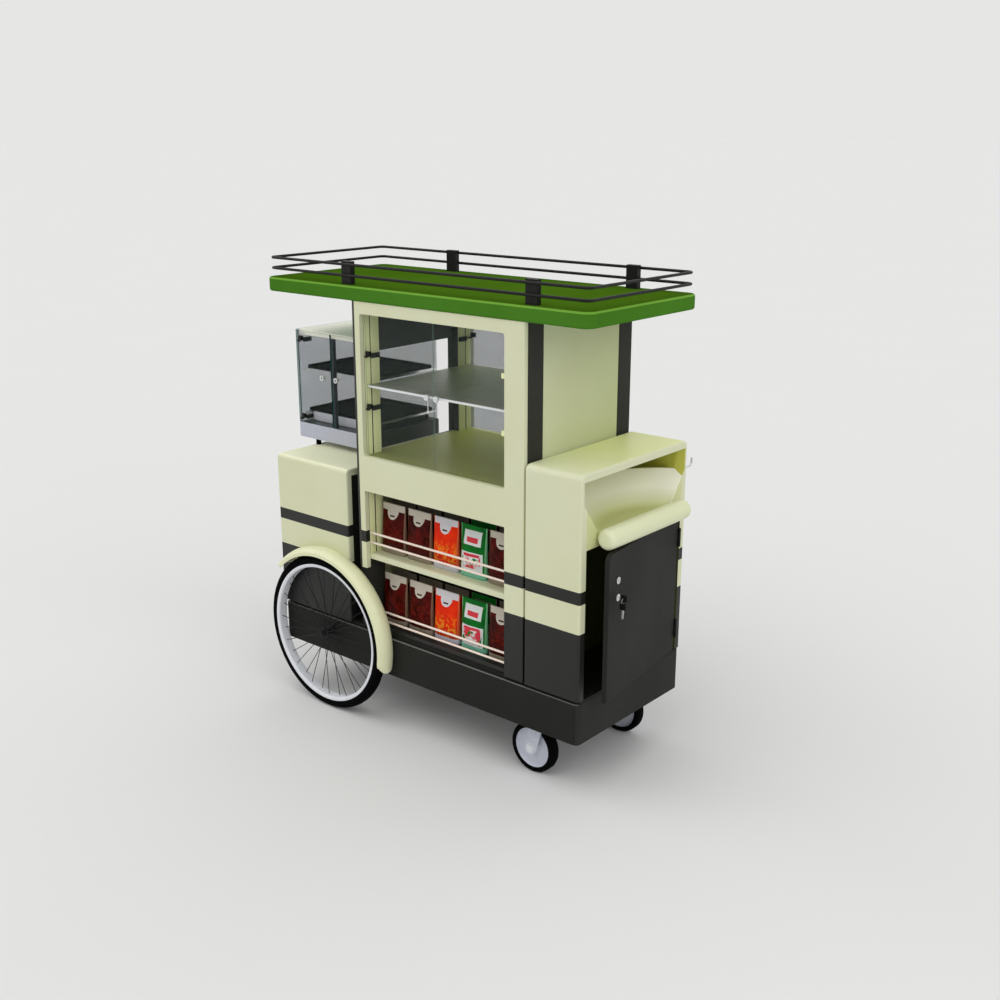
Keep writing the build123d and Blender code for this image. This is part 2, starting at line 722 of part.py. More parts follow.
# Left cabinet under the warmer, with its two end boards
left_height = left_cabinet_top - body_bottom
left_shell = arch(base_depth, left_height, left_cabinet_wall, left_cabinet_wall,
                  left_cabinet_round, left_cabinet_length, left_end_round, left_end_round)
keep("left_cabinet", Pos(left_cabinet_x, 0, body_bottom) * left_shell)
left_in = base_depth / 2 - left_cabinet_wall
end_start = left_cabinet_x + left_end_inset
end_board = slab(end_start, end_start + left_end_thickness, -left_in, left_in, body_bottom,
                 left_cabinet_top - left_cabinet_wall)
end_travel = left_cabinet_length - 2 * left_end_inset - left_end_thickness
keep("left_cabinet_ends", end_board, Pos(end_travel, 0, 0) * end_board)

# Right cabinet, open at the handle end, where the round scoop flares its walls
right_height = right_cabinet_top - body_bottom
right_shell = arch(base_depth, right_height, right_cabinet_wall, right_cabinet_lid,
                   right_cabinet_round, right_cabinet_length, right_tower_round, right_handle_round)
right_cabinet = Pos(pillar_right, 0, body_bottom) * right_shell
cam_front = base_right - door_thickness - face_gap
for lock_z in lock_heights:
    right_cabinet -= slab(cam_front - lock_cam_thickness - lock_pocket_margin,
                          cam_front + lock_pocket_margin,
                          -right_wall_in - lock_pocket_depth, -right_wall_in,
                          lock_z - lock_cam_width / 2 - lock_pocket_margin,
                          lock_z + lock_cam_width / 2 + lock_pocket_margin)
scoop_x = base_right - scoop_reach + scoop_top_radius
lid_bottom = right_cabinet_top - right_cabinet_lid
hollow_face = make_face(Polyline((0, scoop_floor), (scoop_floor_radius, scoop_floor),
                                 (scoop_top_radius, scoop_top), (scoop_top_radius, lid_bottom),
                                 (0, lid_bottom), close=True))
hollow_corner = hollow_face.vertices().group_by(Axis.Y)[0].sort_by(Axis.X)[-1]
hollow_face = fillet(hollow_corner, scoop_floor_round)
scoop_hollow = Pos(scoop_x, 0, 0) * revolve(Plane.XZ * hollow_face, Axis.Z)
keep("right_cabinet", right_cabinet - scoop_hollow)

# Push handle: a shell round the leaning scoop, with a floor, a lip and the roll grip
scoop_rise = scoop_top - scoop_floor
scoop_slope = scoop_lean / scoop_rise
scoop_depth = scoop_rise + scoop_wall
under_radius = scoop_floor_radius + scoop_wall - scoop_slope * scoop_wall
scoop_shell = Pos(scoop_x, 0, scoop_floor - scoop_wall + scoop_depth / 2) * Cone(
    under_radius, scoop_top_radius + scoop_wall, scoop_depth)
scoop_space = slab(scoop_x - 2 * scoop_top_radius, base_right, -right_wall_in, right_wall_in,
                   scoop_bottom, scoop_top)
scoop_body = scoop_shell & scoop_space
scoop_body += slab(base_right - scoop_wall, base_right, -right_wall_in, right_wall_in,
                   scoop_bottom, scoop_top)
scoop_body -= scoop_hollow
grip_x = base_right + grip_out
grip_z = scoop_floor - grip_drop
lip_half = grip_half_length - grip_radius
scoop_body += slab(base_right - scoop_wall, grip_x, -lip_half, lip_half,
                   scoop_floor - scoop_wall, scoop_floor)
grip = bar_y(grip_x, grip_z, grip_radius, -grip_half_length, grip_half_length)
grip = fillet(grip.edges().filter_by(GeomType.CIRCLE), grip_end_round)
keep("push_handle", scoop_body + grip)

# Bag hook: plate and bent rod on the far wall
hook_x = base_right - right_handle_round - hook_plate_width / 2
hook = slab(hook_x - hook_plate_width / 2, hook_x + hook_plate_width / 2,
            base_rear, base_rear + hook_plate_thickness,
            hook_height - hook_plate_height / 2, hook_height + hook_plate_height / 2)
hook_start = base_rear + hook_plate_thickness
hook_out = hook_start + hook_reach + hook_bend
hook_end = hook_height + hook_bend + hook_tip
hook_path = FilletPolyline((hook_x, hook_start, hook_height), (hook_x, hook_out, hook_height),
                           (hook_x, hook_out, hook_end), radius=hook_bend)
hook_section = Plane((hook_x, hook_start, hook_height), z_dir=(0, 1, 0)) * Circle(hook_rod_radius)
hook += sweep(hook_section, path=hook_path)
keep("bag_hook", hook)

# End door, drawn closed with its hinge pin at the origin, then set ajar
door_width = hinge_y + right_wall_in - door_near_gap
lock_reach = door_width - lock_edge
lock_cam_length = lock_edge + door_near_gap + lock_cam_engage
panel_far = -door_hinge_gap
door_face_x = -hinge_out
door_panel = slab(door_face_x - door_thickness, door_face_x, -door_width, panel_far, door_bottom, door_top)
door_corner = door_panel.edges().filter_by(Axis.X).group_by(Axis.Z)[-1].sort_by(Axis.Y)[0]
door_panel = fillet(door_corner, door_corner_round)
fittings = []
plugs = []
lock_back = door_face_x - door_thickness
for lock_z, cam_way in zip(lock_heights, (1, -1)):
    door_panel -= bar_x(-lock_reach, lock_z, lock_barrel_radius, lock_back, door_face_x)
    lock_body = bar_x(-lock_reach, lock_z, lock_barrel_radius, lock_back, door_face_x)
    lock_front = door_face_x + lock_flange_thickness
    lock_body += bar_x(-lock_reach, lock_z, lock_flange_radius, door_face_x, lock_front)
    lock_body -= bar_x(-lock_reach, lock_z, lock_plug_radius + running_fit, lock_back, lock_front)
    fittings.append(lock_body)
    plug = bar_x(-lock_reach, lock_z, lock_plug_radius, lock_back - face_gap, lock_front)
    cam_back = lock_back - face_gap - lock_cam_thickness
    cam_tip = lock_z + cam_way * lock_cam_length
    plug += slab(cam_back, cam_back + lock_cam_thickness, -lock_reach - lock_cam_width / 2,
                 -lock_reach + lock_cam_width / 2, min(lock_z, cam_tip), max(lock_z, cam_tip))
    plug += bar_x(-lock_reach, lock_z, lock_cam_width / 2, cam_back, cam_back + lock_cam_thickness)
    plugs.append(plug)
stem_end = lock_front + key_stem_length
key = slab(lock_front, stem_end + key_bow_radius, -lock_reach - key_bow_thickness / 2,
           -lock_reach + key_bow_thickness / 2, lock_z - key_stem_width / 2, lock_z + key_stem_width / 2)
key += bar_y(stem_end + key_bow_radius, lock_z, key_bow_radius, -lock_reach - key_bow_thickness / 2,
             -lock_reach + key_bow_thickness / 2)
key -= bar_y(stem_end + key_bow_radius, lock_z, key_bow_hole, -lock_reach - key_bow_thickness,
             -lock_reach + key_bow_thickness)
plugs[-1] += key

# Butt hinges with their leaves in the gap: outer knuckles and pin on the wall, middle knuckle on the door
fixed_hinges = []
knuckle = hinge_length / 3
leaf_inside = hinge_in - hinge_leaf_thickness - hidden_gap
for height in hinge_heights:
    low = height - hinge_length / 2
    moving = bar_z(0, 0, hinge_barrel_radius, low + knuckle + face_gap, low + 2 * knuckle - face_gap)
    moving += slab(-hinge_leaf_width, 0, panel_far, panel_far + hinge_leaf_thickness,
                   low + knuckle + face_gap, low + 2 * knuckle - face_gap)
    moving -= bar_z(0, 0, hinge_pin_radius + running_fit, low, low + hinge_length)
    fittings.append(moving)
    fixed = bar_z(0, 0, hinge_pin_radius, low, low + hinge_length)
    for start in (low, low + 2 * knuckle):
        fixed += bar_z(0, 0, hinge_barrel_radius, start, start + knuckle)
        fixed += slab(-hinge_leaf_width, 0, leaf_inside, hinge_in, start, start + knuckle)
    fixed += slab(-hinge_leaf_width, -hinge_barrel_radius - hidden_gap, leaf_inside, hinge_in,
                  low, low + hinge_length)
    fixed_hinges.append(Pos(hinge_x, hinge_y, 0) * fixed)
door_place = Pos(hinge_x, hinge_y, 0) * Rot(0, 0, door_rest_angle)
keep("end_door", door_place * door_panel)
keep("end_door_fittings", *[door_place * piece for piece in fittings])
keep("upper_lock_plug", door_place * plugs[0])
keep("lower_lock_plug", door_place * plugs[1])


def glass_door(width, height, clamp_heights, knob_inset, knob_height):
    """Leaf, fittings and jamb brackets of one glass door.

    The jamb is the plane x = 0, the leaf's middle plane is y = 0, its outside faces -Y
    and it stands on z = 0. The pivot line is at x = pivot_gap, y = 0.
    """
    half = pane_thickness / 2
    glass = slab(leaf_edge_gap, width, -half, half, 0, height)
    pieces = []
    brackets = []
    for middle in clamp_heights:
        low = middle - clamp_height / 2
        high = middle + clamp_height / 2
        notch_edge = pivot_gap + clamp_length - clamp_bite
        notch_low = low - bracket_height - 2 * hidden_gap
        glass -= slab(0, notch_edge, -pane_thickness, pane_thickness, notch_low, high + hidden_gap)
        clamp = slab(pivot_gap, pivot_gap + clamp_length, -clamp_half_depth, clamp_half_depth, low, high)
        clamp -= slab(notch_edge, pivot_gap + 2 * clamp_length, -half, half, low, high)
        clamp += bar_z(pivot_gap, 0, pivot_barrel_radius, low, high)
        clamp -= bar_z(pivot_gap, 0, pivot_pin_radius + running_fit, low, high)
        pieces.append(clamp)
        arm_top = low - face_gap
        arm_low = arm_top - bracket_height
        bracket = slab(0, pivot_gap, -bracket_half_depth, bracket_half_depth, arm_low, arm_top)
        bracket += bar_z(pivot_gap, 0, bracket_half_depth, arm_low, arm_top)
        bracket += bar_z(pivot_gap, 0, pivot_pin_radius, arm_top, high)
        bracket += slab(0, bracket_arm_thickness, 0, bracket_block_start, arm_low, arm_top)
        bracket += slab(0, bracket_block_thickness, bracket_block_start, bracket_block_end,
                        arm_low - bracket_block_margin, arm_top + bracket_block_margin)
        brackets.append(bracket)
    knob_x = width - knob_inset
    knob_tip = -half - knob_length
    knob = bar_y(knob_x, knob_height, knob_neck_radius, knob_tip, -half)
    knob += bar_y(knob_x, knob_height, knob_radius, knob_tip, knob_tip + knob_length / 2)
    pieces.append(knob)
    return glass, pieces, brackets


# Display doors: two leaves in the front window, two in the rear one
leaf_width = (window_width - leaf_meeting_gap) / 2
leaf_height = window_height - 2 * leaf_end_gap
leaf_y = panel_back + display_leaf_setback
display_clamp_heights = [share * leaf_height for share in display_clamp_shares]
glass, pieces, arms = glass_door(leaf_width, leaf_height, display_clamp_heights,
                                 display_knob_inset, display_knob_share * leaf_height)
brackets = []
for face, turn in (("front", 0), ("rear", 180)):
    to_face = Pos(window_x, 0, 0) * Rot(0, 0, turn)
    on_left = to_face * Pos(-window_width / 2, leaf_y, window_bottom + leaf_end_gap)
    on_right = to_face * Pos(window_width / 2, leaf_y, window_bottom + leaf_end_gap)
    left_name, right_name = ("left", "right") if turn == 0 else ("right", "left")
    keep(f"{face}_{left_name}_door", on_left * glass)
    keep(f"{face}_{left_name}_door_fittings", *[on_left * piece for piece in pieces])
    keep(f"{face}_{right_name}_door", on_right * other_hand(glass))
    keep(f"{face}_{right_name}_door_fittings", *[on_right * other_hand(piece) for piece in pieces])
    brackets += [on_left * arm for arm in arms]
    brackets += [on_right * other_hand(arm) for arm in arms]

# Food warmer: feet, hollow sheet base, glass case, lid, trays and their rails
feet = []
left_foot_x = left_cabinet_x + warmer_foot_cabinet_inset
right_foot_x = warmer_right - warmer_foot_inset - warmer_foot_radius
for foot_x in (left_foot_x, right_foot_x):
    for foot_y in (warmer_front + warmer_foot_inset, warmer_rear - warmer_foot_inset):
        feet.append(bar_z(foot_x, foot_y, warmer_foot_radius, left_cabinet_top, warmer_base_bottom))
keep("warmer_feet", *feet)
sheet = warmer_base_sheet
warmer_base = slab(warmer_left, warmer_right, warmer_front, warmer_rear,
                   warmer_base_bottom, warmer_base_top)
warmer_base -= slab(warmer_left + sheet, warmer_right - sheet, warmer_front + sheet, warmer_rear - sheet,
                    warmer_base_bottom + sheet, warmer_base_top - sheet)
keep("warmer_base", warmer_base)
left_pane = slab(warmer_left, warmer_left + pane_thickness, warmer_front, warmer_rear,
                 warmer_base_top, warmer_glass_top)
right_pane = Pos(warmer_width - pane_thickness, 0, 0) * left_pane
rear_pane = slab(warmer_left + pane_thickness, warmer_right - pane_thickness,
                 warmer_rear - pane_thickness, warmer_rear, warmer_base_top, warmer_glass_top)
keep("fixed_glass", tower_pane, left_pane, right_pane, rear_pane)
lid = slab(warmer_left + pane_thickness, warmer_right - pane_thickness, warmer_front + warmer_top_setback,
           warmer_rear - pane_thickness, warmer_lid_bottom, warmer_glass_top)
lid_edge = lid.edges().filter_by(Axis.X).group_by(Axis.Y)[0].sort_by(Axis.Z)[-1]
keep("warmer_top", fillet(lid_edge, warmer_top_round))
mullion_front = warmer_front + pane_thickness + warmer_mullion_gap
keep("warmer_mullion", slab(warmer_x - warmer_mullion / 2, warmer_x + warmer_mullion / 2, mullion_front,
                            mullion_front + warmer_mullion, warmer_base_top, warmer_lid_bottom))

tray_front = mullion_front + warmer_mullion + tray_margin
tray_space = warmer_rear - pane_thickness - tray_margin - tray_front
tray_y = tray_front + tray_space / 2
pane_in = warmer_width / 2 - pane_thickness
tray_half = pane_in - tray_margin
tray_shell = extrude(Rectangle(2 * tray_half, tray_length), tray_height)
tray_hollow = extrude(Rectangle(2 * (tray_half - tray_wall), tray_length - 2 * tray_wall), tray_height)
tray = tray_shell - Pos(0, 0, tray_wall) * tray_hollow
tray_rails = []
trays = []
for height in tray_heights:
    tray_bottom = warmer_base_top + height - tray_height
    trays.append(Pos(warmer_x, tray_y, tray_bottom) * tray)
    for rail_x in (warmer_x - pane_in, warmer_x + pane_in - tray_rail_width):
        tray_rails.append(slab(rail_x, rail_x + tray_rail_width, tray_front, tray_front + tray_space,
                               tray_bottom - tray_rail, tray_bottom))
keep("warmer_rails", *tray_rails)
keep("warmer_trays", *trays)

# Warmer doors, hung on the case's side panes
case_width = warmer_width - 2 * pane_thickness
warmer_leaf_width = (case_width - leaf_meeting_gap) / 2
warmer_leaf_height = warmer_glass_height - 2 * leaf_end_gap
warmer_clamp_heights = (warmer_clamp_low, warmer_leaf_height - warmer_clamp_drop)
warmer_knob_height = warmer_leaf_height / 2 + warmer_knob_rise
glass, pieces, arms = glass_door(warmer_leaf_width, warmer_leaf_height, warmer_clamp_heights,
                                 warmer_knob_inset, warmer_knob_height)
warmer_leaf_y = warmer_front + pane_thickness / 2
on_left = Pos(warmer_x - case_width / 2, warmer_leaf_y, warmer_base_top + leaf_end_gap)
on_right = Pos(warmer_x + case_width / 2, warmer_leaf_y, warmer_base_top + leaf_end_gap)
keep("warmer_left_door", on_left * glass)
keep("warmer_left_door_fittings", *[on_left * piece for piece in pieces])
keep("warmer_right_door", on_right * other_hand(glass))
keep("warmer_right_door_fittings", *[on_right * other_hand(piece) for piece in pieces])
brackets += [on_left * arm for arm in arms]
brackets += [on_right * other_hand(arm) for arm in arms]
keep("hinge_brackets", *fixed_hinges, *brackets)

for name, shape in nodes.items():
    export_step(shape, f"parts/{name}.step")
whole = Compound(children=list(nodes.values())).bounding_box()
print(len(nodes), "nodes", whole.min, whole.max)
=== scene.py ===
import json
import math

import bpy
import numpy as np
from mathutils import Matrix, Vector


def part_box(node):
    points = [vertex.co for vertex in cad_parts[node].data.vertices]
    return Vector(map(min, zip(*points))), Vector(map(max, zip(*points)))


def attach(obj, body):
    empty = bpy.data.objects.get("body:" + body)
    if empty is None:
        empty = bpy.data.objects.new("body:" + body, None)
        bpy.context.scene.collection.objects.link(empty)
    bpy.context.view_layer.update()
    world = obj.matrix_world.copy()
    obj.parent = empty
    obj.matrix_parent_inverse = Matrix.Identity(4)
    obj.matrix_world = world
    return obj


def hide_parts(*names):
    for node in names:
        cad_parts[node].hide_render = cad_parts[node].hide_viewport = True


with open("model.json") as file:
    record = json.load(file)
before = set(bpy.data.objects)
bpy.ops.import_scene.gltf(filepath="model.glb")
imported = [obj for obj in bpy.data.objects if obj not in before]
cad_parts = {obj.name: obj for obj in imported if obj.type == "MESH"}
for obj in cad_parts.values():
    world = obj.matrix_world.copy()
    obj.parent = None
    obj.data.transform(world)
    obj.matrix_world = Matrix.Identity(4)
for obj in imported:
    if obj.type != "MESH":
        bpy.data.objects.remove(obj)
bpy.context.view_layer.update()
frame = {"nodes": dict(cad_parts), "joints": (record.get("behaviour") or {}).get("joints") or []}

nodes = frame["nodes"]
joints = {joint["name"]: joint for joint in frame["joints"]}
scene = bpy.context.scene
scene.view_settings.view_transform = "Standard"
vertical = np.array([0.0, 0.0, 1.0])
displayCurve = dict(full=255, knee=0.04045, slope=12.92, lift=0.055, power=2.4)


def tone(red, green, blue):
    # display values from 0 to 255 as linear colour: a straight foot, then a power curve
    parts = []
    for value in (red, green, blue):
        part = value / displayCurve["full"]
        if part <= displayCurve["knee"]:
            parts.append(part / displayCurve["slope"])
        else:
            lift = displayCurve["lift"]
            parts.append(((part + lift) / (1 + lift)) ** displayCurve["power"])
    return tuple(parts)


class Sock:
    # one shader socket, with arithmetic that adds the Math nodes it needs

    def __init__(self, tree, out):
        self.tree = tree
        self.out = out

    def via(self, kind, inputs=None, out=0, **props):
        # a new node: its settings first, then the values or links of its sockets
        node = self.tree.nodes.new(kind)
        for key, value in props.items():
            setattr(node, key, value)
        for key, value in (inputs or {}).items():
            plug(self.tree, node.inputs[key], value)
        return Sock(self.tree, node.outputs[out])

    def calc(self, operation, first, second=0.0):
        # one Math node on two values
        return self.via("ShaderNodeMath", {0: first, 1: second}, operation=operation)

    def __add__(self, other):
        return self.calc("ADD", self, other)

    def __radd__(self, other):
        return self.calc("ADD", other, self)

    def __sub__(self, other):
        return self.calc("SUBTRACT", self, other)

    def __rsub__(self, other):
        return self.calc("SUBTRACT", other, self)

    def __mul__(self, other):
        return self.calc("MULTIPLY", self, other)

    def __rmul__(self, other):
        return self.calc("MULTIPLY", other, self)

    def __truediv__(self, other):
        return self.calc("DIVIDE", self, other)

    def __rtruediv__(self, other):
        return self.calc("DIVIDE", other, self)

    def __gt__(self, other):
        return self.calc("GREATER_THAN", self, other)

    def __lt__(self, other):
        return self.calc("LESS_THAN", self, other)

    def __abs__(self):
        return self.calc("ABSOLUTE", self)


def plug(tree, socket, value):
    # a link for a wrapped socket, else a constant, with full alpha added to a plain colour
    if isinstance(value, Sock):
        tree.links.new(value.out, socket)
    elif socket.type == "RGBA" and len(value) == 3:
        socket.default_value = (*value, 1.0)
    else:
        socket.default_value = value


class Finish:
    # a Principled material that is built up step by step

    def __init__(self, name):
        self.material = bpy.data.materials.new(name)
        self.material.use_nodes = True
        self.tree = self.material.node_tree
        self.shader = self.tree.nodes["Principled BSDF"]
        coords = self.tree.nodes.new("ShaderNodeTexCoord")
        self.place = Sock(self.tree, coords.outputs["Object"])
        self.facing = Sock(self.tree, coords.outputs["Normal"])
        self.start = Sock(self.tree, None)

    def axis(self, letter, source=None):
        # one part of a vector, by default of the place
        return self.start.via("ShaderNodeSeparateXYZ", {0: source or self.place}, out="XYZ".index(letter))

    def noise(self, scale, detail=3.0, rough=0.55, stretch=None):
        # soft noise over the place, which may be stretched first
        place = self.place
        if stretch:
            place = self.start.via("ShaderNodeMapping", {"Vector": place, "Scale": stretch})
        return self.start.via("ShaderNodeTexNoise", {"Vector": place, "Scale": scale, "Detail": detail,
                                                     "Roughness": rough})

    def ramp(self, value, low, high, start=0.0, end=1.0):
        # straight line from start at low to end at high, held level outside
        return self.start.via("ShaderNodeMapRange", {0: value, 1: low, 2: high, 3: start, 4: end})

    def mix(self, factor, first, second):
        # first colour at factor 0, second at factor 1
        return self.start.via("ShaderNodeMix", {0: factor, 6: first, 7: second}, out=2, data_type="RGBA")

    def bump(self, height, strength, distance):
        # normal tipped by the slope of a height
        return self.start.via("ShaderNodeBump", {"Strength": strength, "Distance": distance, "Height": height})

    def put(self, **values):
        # values or links into the shader, by socket name with underscores for spaces
        for key, value in values.items():
            plug(self.tree, self.shader.inputs[key.replace("_", " ")], value)
        return self.material


cream = (tone(222, 224, 192), tone(216, 218, 180))
# cream painted brighter than the cream paint: painted light for the shaded inside of the display
paintedLightCream = (tone(248, 252, 198), tone(244, 248, 188))
dark = (tone(39, 39, 36), tone(34, 34, 32))
bandDark = (tone(31, 31, 29), tone(26, 26, 24))
postDark = (tone(52, 52, 47), tone(46, 46, 42))
keyBlack = (tone(8, 8, 8), tone(5, 5, 5))
# dark olive for painted shade inside the cabinets
paintedInsideShade = (tone(84, 90, 40), tone(74, 80, 34))
darkGrey = (tone(70, 71, 72), tone(62, 63, 64))

faceOn = 0.5  # a face is turned to an axis when its normal's share passes this
areaAt = {
    "band": dict(low=0.647, middle=0.756, top=0.803),
    "jamb": dict(left=-0.28485, right=0.43125, low=0.69),
    "header": dict(right=-0.3, low=1.5),
    "strip": dict(right=-0.3115),
    "lowShelf": dict(top=0.5),
    "hollow": dict(tilt=0.3, wall=0.2, wallLow=0.9, lidLow=1.1),
    "top": dict(first=0.5, full=0.9),
    "edge": dict(first=0.2, last=0.93),
    "lid": dict(first=0.8, full=1.0, front=-0.34, back=0.02, least=0.15),
    "pool": dict(rim=1.05, floor=0.985, right=0.772),
    "inside": dict(right=0.7, top=0.945),
    "depth": dict(front=-0.22, back=0.26),
    "web": dict(left=0.76, right=0.7755),
    "farEnd": dict(left=0.3, front=-0.3, back=0.3, least=0.25),
    "hiddenSide": dict(left=0.3, top=0.98),
    "grip": dict(left=0.776),
    "hub": dict(radius=0.022, reach=0.1),
    "keyhole": dict(depth=0.003, half=0.0022, rise=0.0052),
}


def bandArea(item):
    # all below the low line, and the stripe between the middle and top lines
    at, height = areaAt["band"], item.axis("Z")
    return (height < at["low"]) + (height > at["middle"]) * (height < at["top"])


def jambArea(item):
    # the post faces that look into the window opening, above the bay's guard
    at, across = areaAt["jamb"], item.axis("X")
    return (across > at["left"]) * (across < at["right"]) * (item.axis("Z") > at["low"])


def headerArea(item):
    # the board over the left pane: left of a line and above a line
    at = areaAt["header"]
    return (item.axis("X") < at["right"]) * (item.axis("Z") > at["low"])


def stripArea(item):
    # narrow dark strip down the front panel's left edge
    return item.axis("X") < areaAt["strip"]["right"]


def lowShelfArea(item):
    # the lower of the two goods shelves
    return item.axis("Z") < areaAt["lowShelf"]["top"]


def hollowShadeArea(item):
    # far inner wall and the underside of the lid: painted shade with painted yellow bounce light, where the
    # cream only sees itself
    at, height = areaAt["hollow"], item.axis("Z")
    farWall = (item.axis("Y", item.facing) < -at["tilt"]) * (item.axis("Y") > at["wall"])
    lid = (item.axis("Z", item.facing) < -faceOn) * (height > at["lidLow"])
    return farWall * (height > at["wallLow"]) + lid


def frontArea(item):
    # faces turned to the front
    return item.axis("Y", item.facing) < -faceOn


def topArea(item):
    # faces turned upwards, fading in with the normal's rise
    at = areaAt["top"]
    return item.ramp(item.axis("Z", item.facing), at["first"], at["full"])


def edgeHighlightArea(item):
    # rounded upper edge, where the normal tips over: a painted highlight
    at, rise = areaAt["edge"], item.axis("Z", item.facing)
    return (rise > at["first"]) * (rise < at["last"])


def lidReflectionArea(item):
    # top of the end cabinet, yellower away from its front edge: painted reflected light from the side panel
    at = areaAt["lid"]
    level = item.ramp(item.axis("Z", item.facing), at["first"], at["full"])
    return level * item.ramp(item.axis("Y"), at["front"], at["back"], at["least"], 1.0)


def scoopShadeArea(item):
    # bottom of the scoop, behind the grip, painted olive as painted shade
    at = areaAt["pool"]
    return item.ramp(item.axis("Z"), at["rim"], at["floor"]) * (item.axis("X") < at["right"])


def insideShadeArea(item):
    # inner faces of the end cabinet, below the scoop, painted dark as painted shade
    at, sideways, across = areaAt["inside"], item.axis("Y", item.facing), item.axis("Y")
    walls = (sideways > faceOn) * (across < 0.0) + (sideways < -faceOn) * (across > 0.0)
    back = (item.axis("X", item.facing) > faceOn) * (item.axis("X") < at["right"])
    return (walls + back) * (item.axis("Z") < at["top"])


def depthLightArea(item):
    # from 0 at the front of the display to 1 at its back: painted shade at the front giving way to painted
    # light at the back
    at = areaAt["depth"]
    return item.ramp(item.axis("Y"), at["front"], at["back"])


def webShadeArea(item):
    # end faces of the lip between the scoop and the grip, painted yellower as painted shade
    at, along = areaAt["web"], item.axis("X")
    return (along > at["left"]) * (along < at["right"]) * innerEndArea(item)


def farEndShadeArea(item):
    # right side panel, darker and yellower away from the front: painted shade
    at = areaAt["farEnd"]
    return (item.axis("X") > at["left"]) * item.ramp(item.axis("Y"), at["front"], at["back"], at["least"], 1.0)


def hiddenSideShadeArea(item):
    # lower part of the right side panel, inside the end cabinet, painted dark as painted shade
    at = areaAt["hiddenSide"]
    return (item.axis("X") > at["left"]) * (item.axis("Z") < at["top"])


def innerEndArea(item):
    # faces turned to the right end
    return item.axis("X", item.facing) > faceOn


def gripArea(item):
    # the roll grip, right of the lip
    return item.axis("X") > areaAt["grip"]["left"]


def hubArea(item):
    # round caps about both caster axles
    at, caps = areaAt["hub"], 0.0
    for name in ("near_caster_spin", "far_caster_spin"):
        middle = joints[name]["pos_m"]
        along, up = item.axis("X") - middle[0], item.axis("Z") - middle[2]
        near = abs(item.axis("Y") - middle[1]) < at["reach"]
        caps = (along * along + up * up < at["radius"] ** 2) * near + caps
    return caps


def keyholeShadeArea(item):
    # slot in the face of the upper lock, level with its axis, painted black as painted shade for the keyhole's
    # opening
    at, lock = areaAt["keyhole"], joints["upper_lock_turn"]
    middle, way = lock["pos_m"], lock["axis"]
    along, across, up = (item.axis(letter) - part for letter, part in zip("XYZ", middle))
    outward = along * way[0] + across * way[1]
    sideways = across * way[0] - along * way[1]
    return (outward > -at["depth"]) * (abs(sideways) < at["half"]) * (abs(up) < at["rise"])


coatMix = dict(detail=4.0, rough=0.55, low=0.3, high=0.7, grainDetail=2.0, smoother=0.05, rougher=0.06,
               relief=0.0006, sheen=0.35)


def coat(name, values):
    # paint or metal: two near tones in a mottle, named areas in their own tones, some of them painted light
    # and painted shade, fine grain in the relief
    item = Finish(name)
    cloud = item.noise(values["scale"], coatMix["detail"], coatMix["rough"], values.get("stretch"))
    mottle = item.ramp(cloud, coatMix["low"], coatMix["high"])
    color = item.mix(mottle, *values["tones"])
    for area, tones in values.get("areas", ()):
        color = item.mix(area(item), color, item.mix(mottle, *tones))
    grain = item.noise(values["grain"], coatMix["grainDetail"])
    rough = item.ramp(mottle, 0.0, 1.0, values["rough"] - coatMix["smoother"],
                      values["rough"] + coatMix["rougher"])
    return item.put(Base_Color=color, Roughness=rough, Metallic=values.get("metallic", 0.0),
                    Specular_IOR_Level=values.get("sheen", coatMix["sheen"]),
                    Normal=item.bump(grain, values["bump"], coatMix["relief"]))


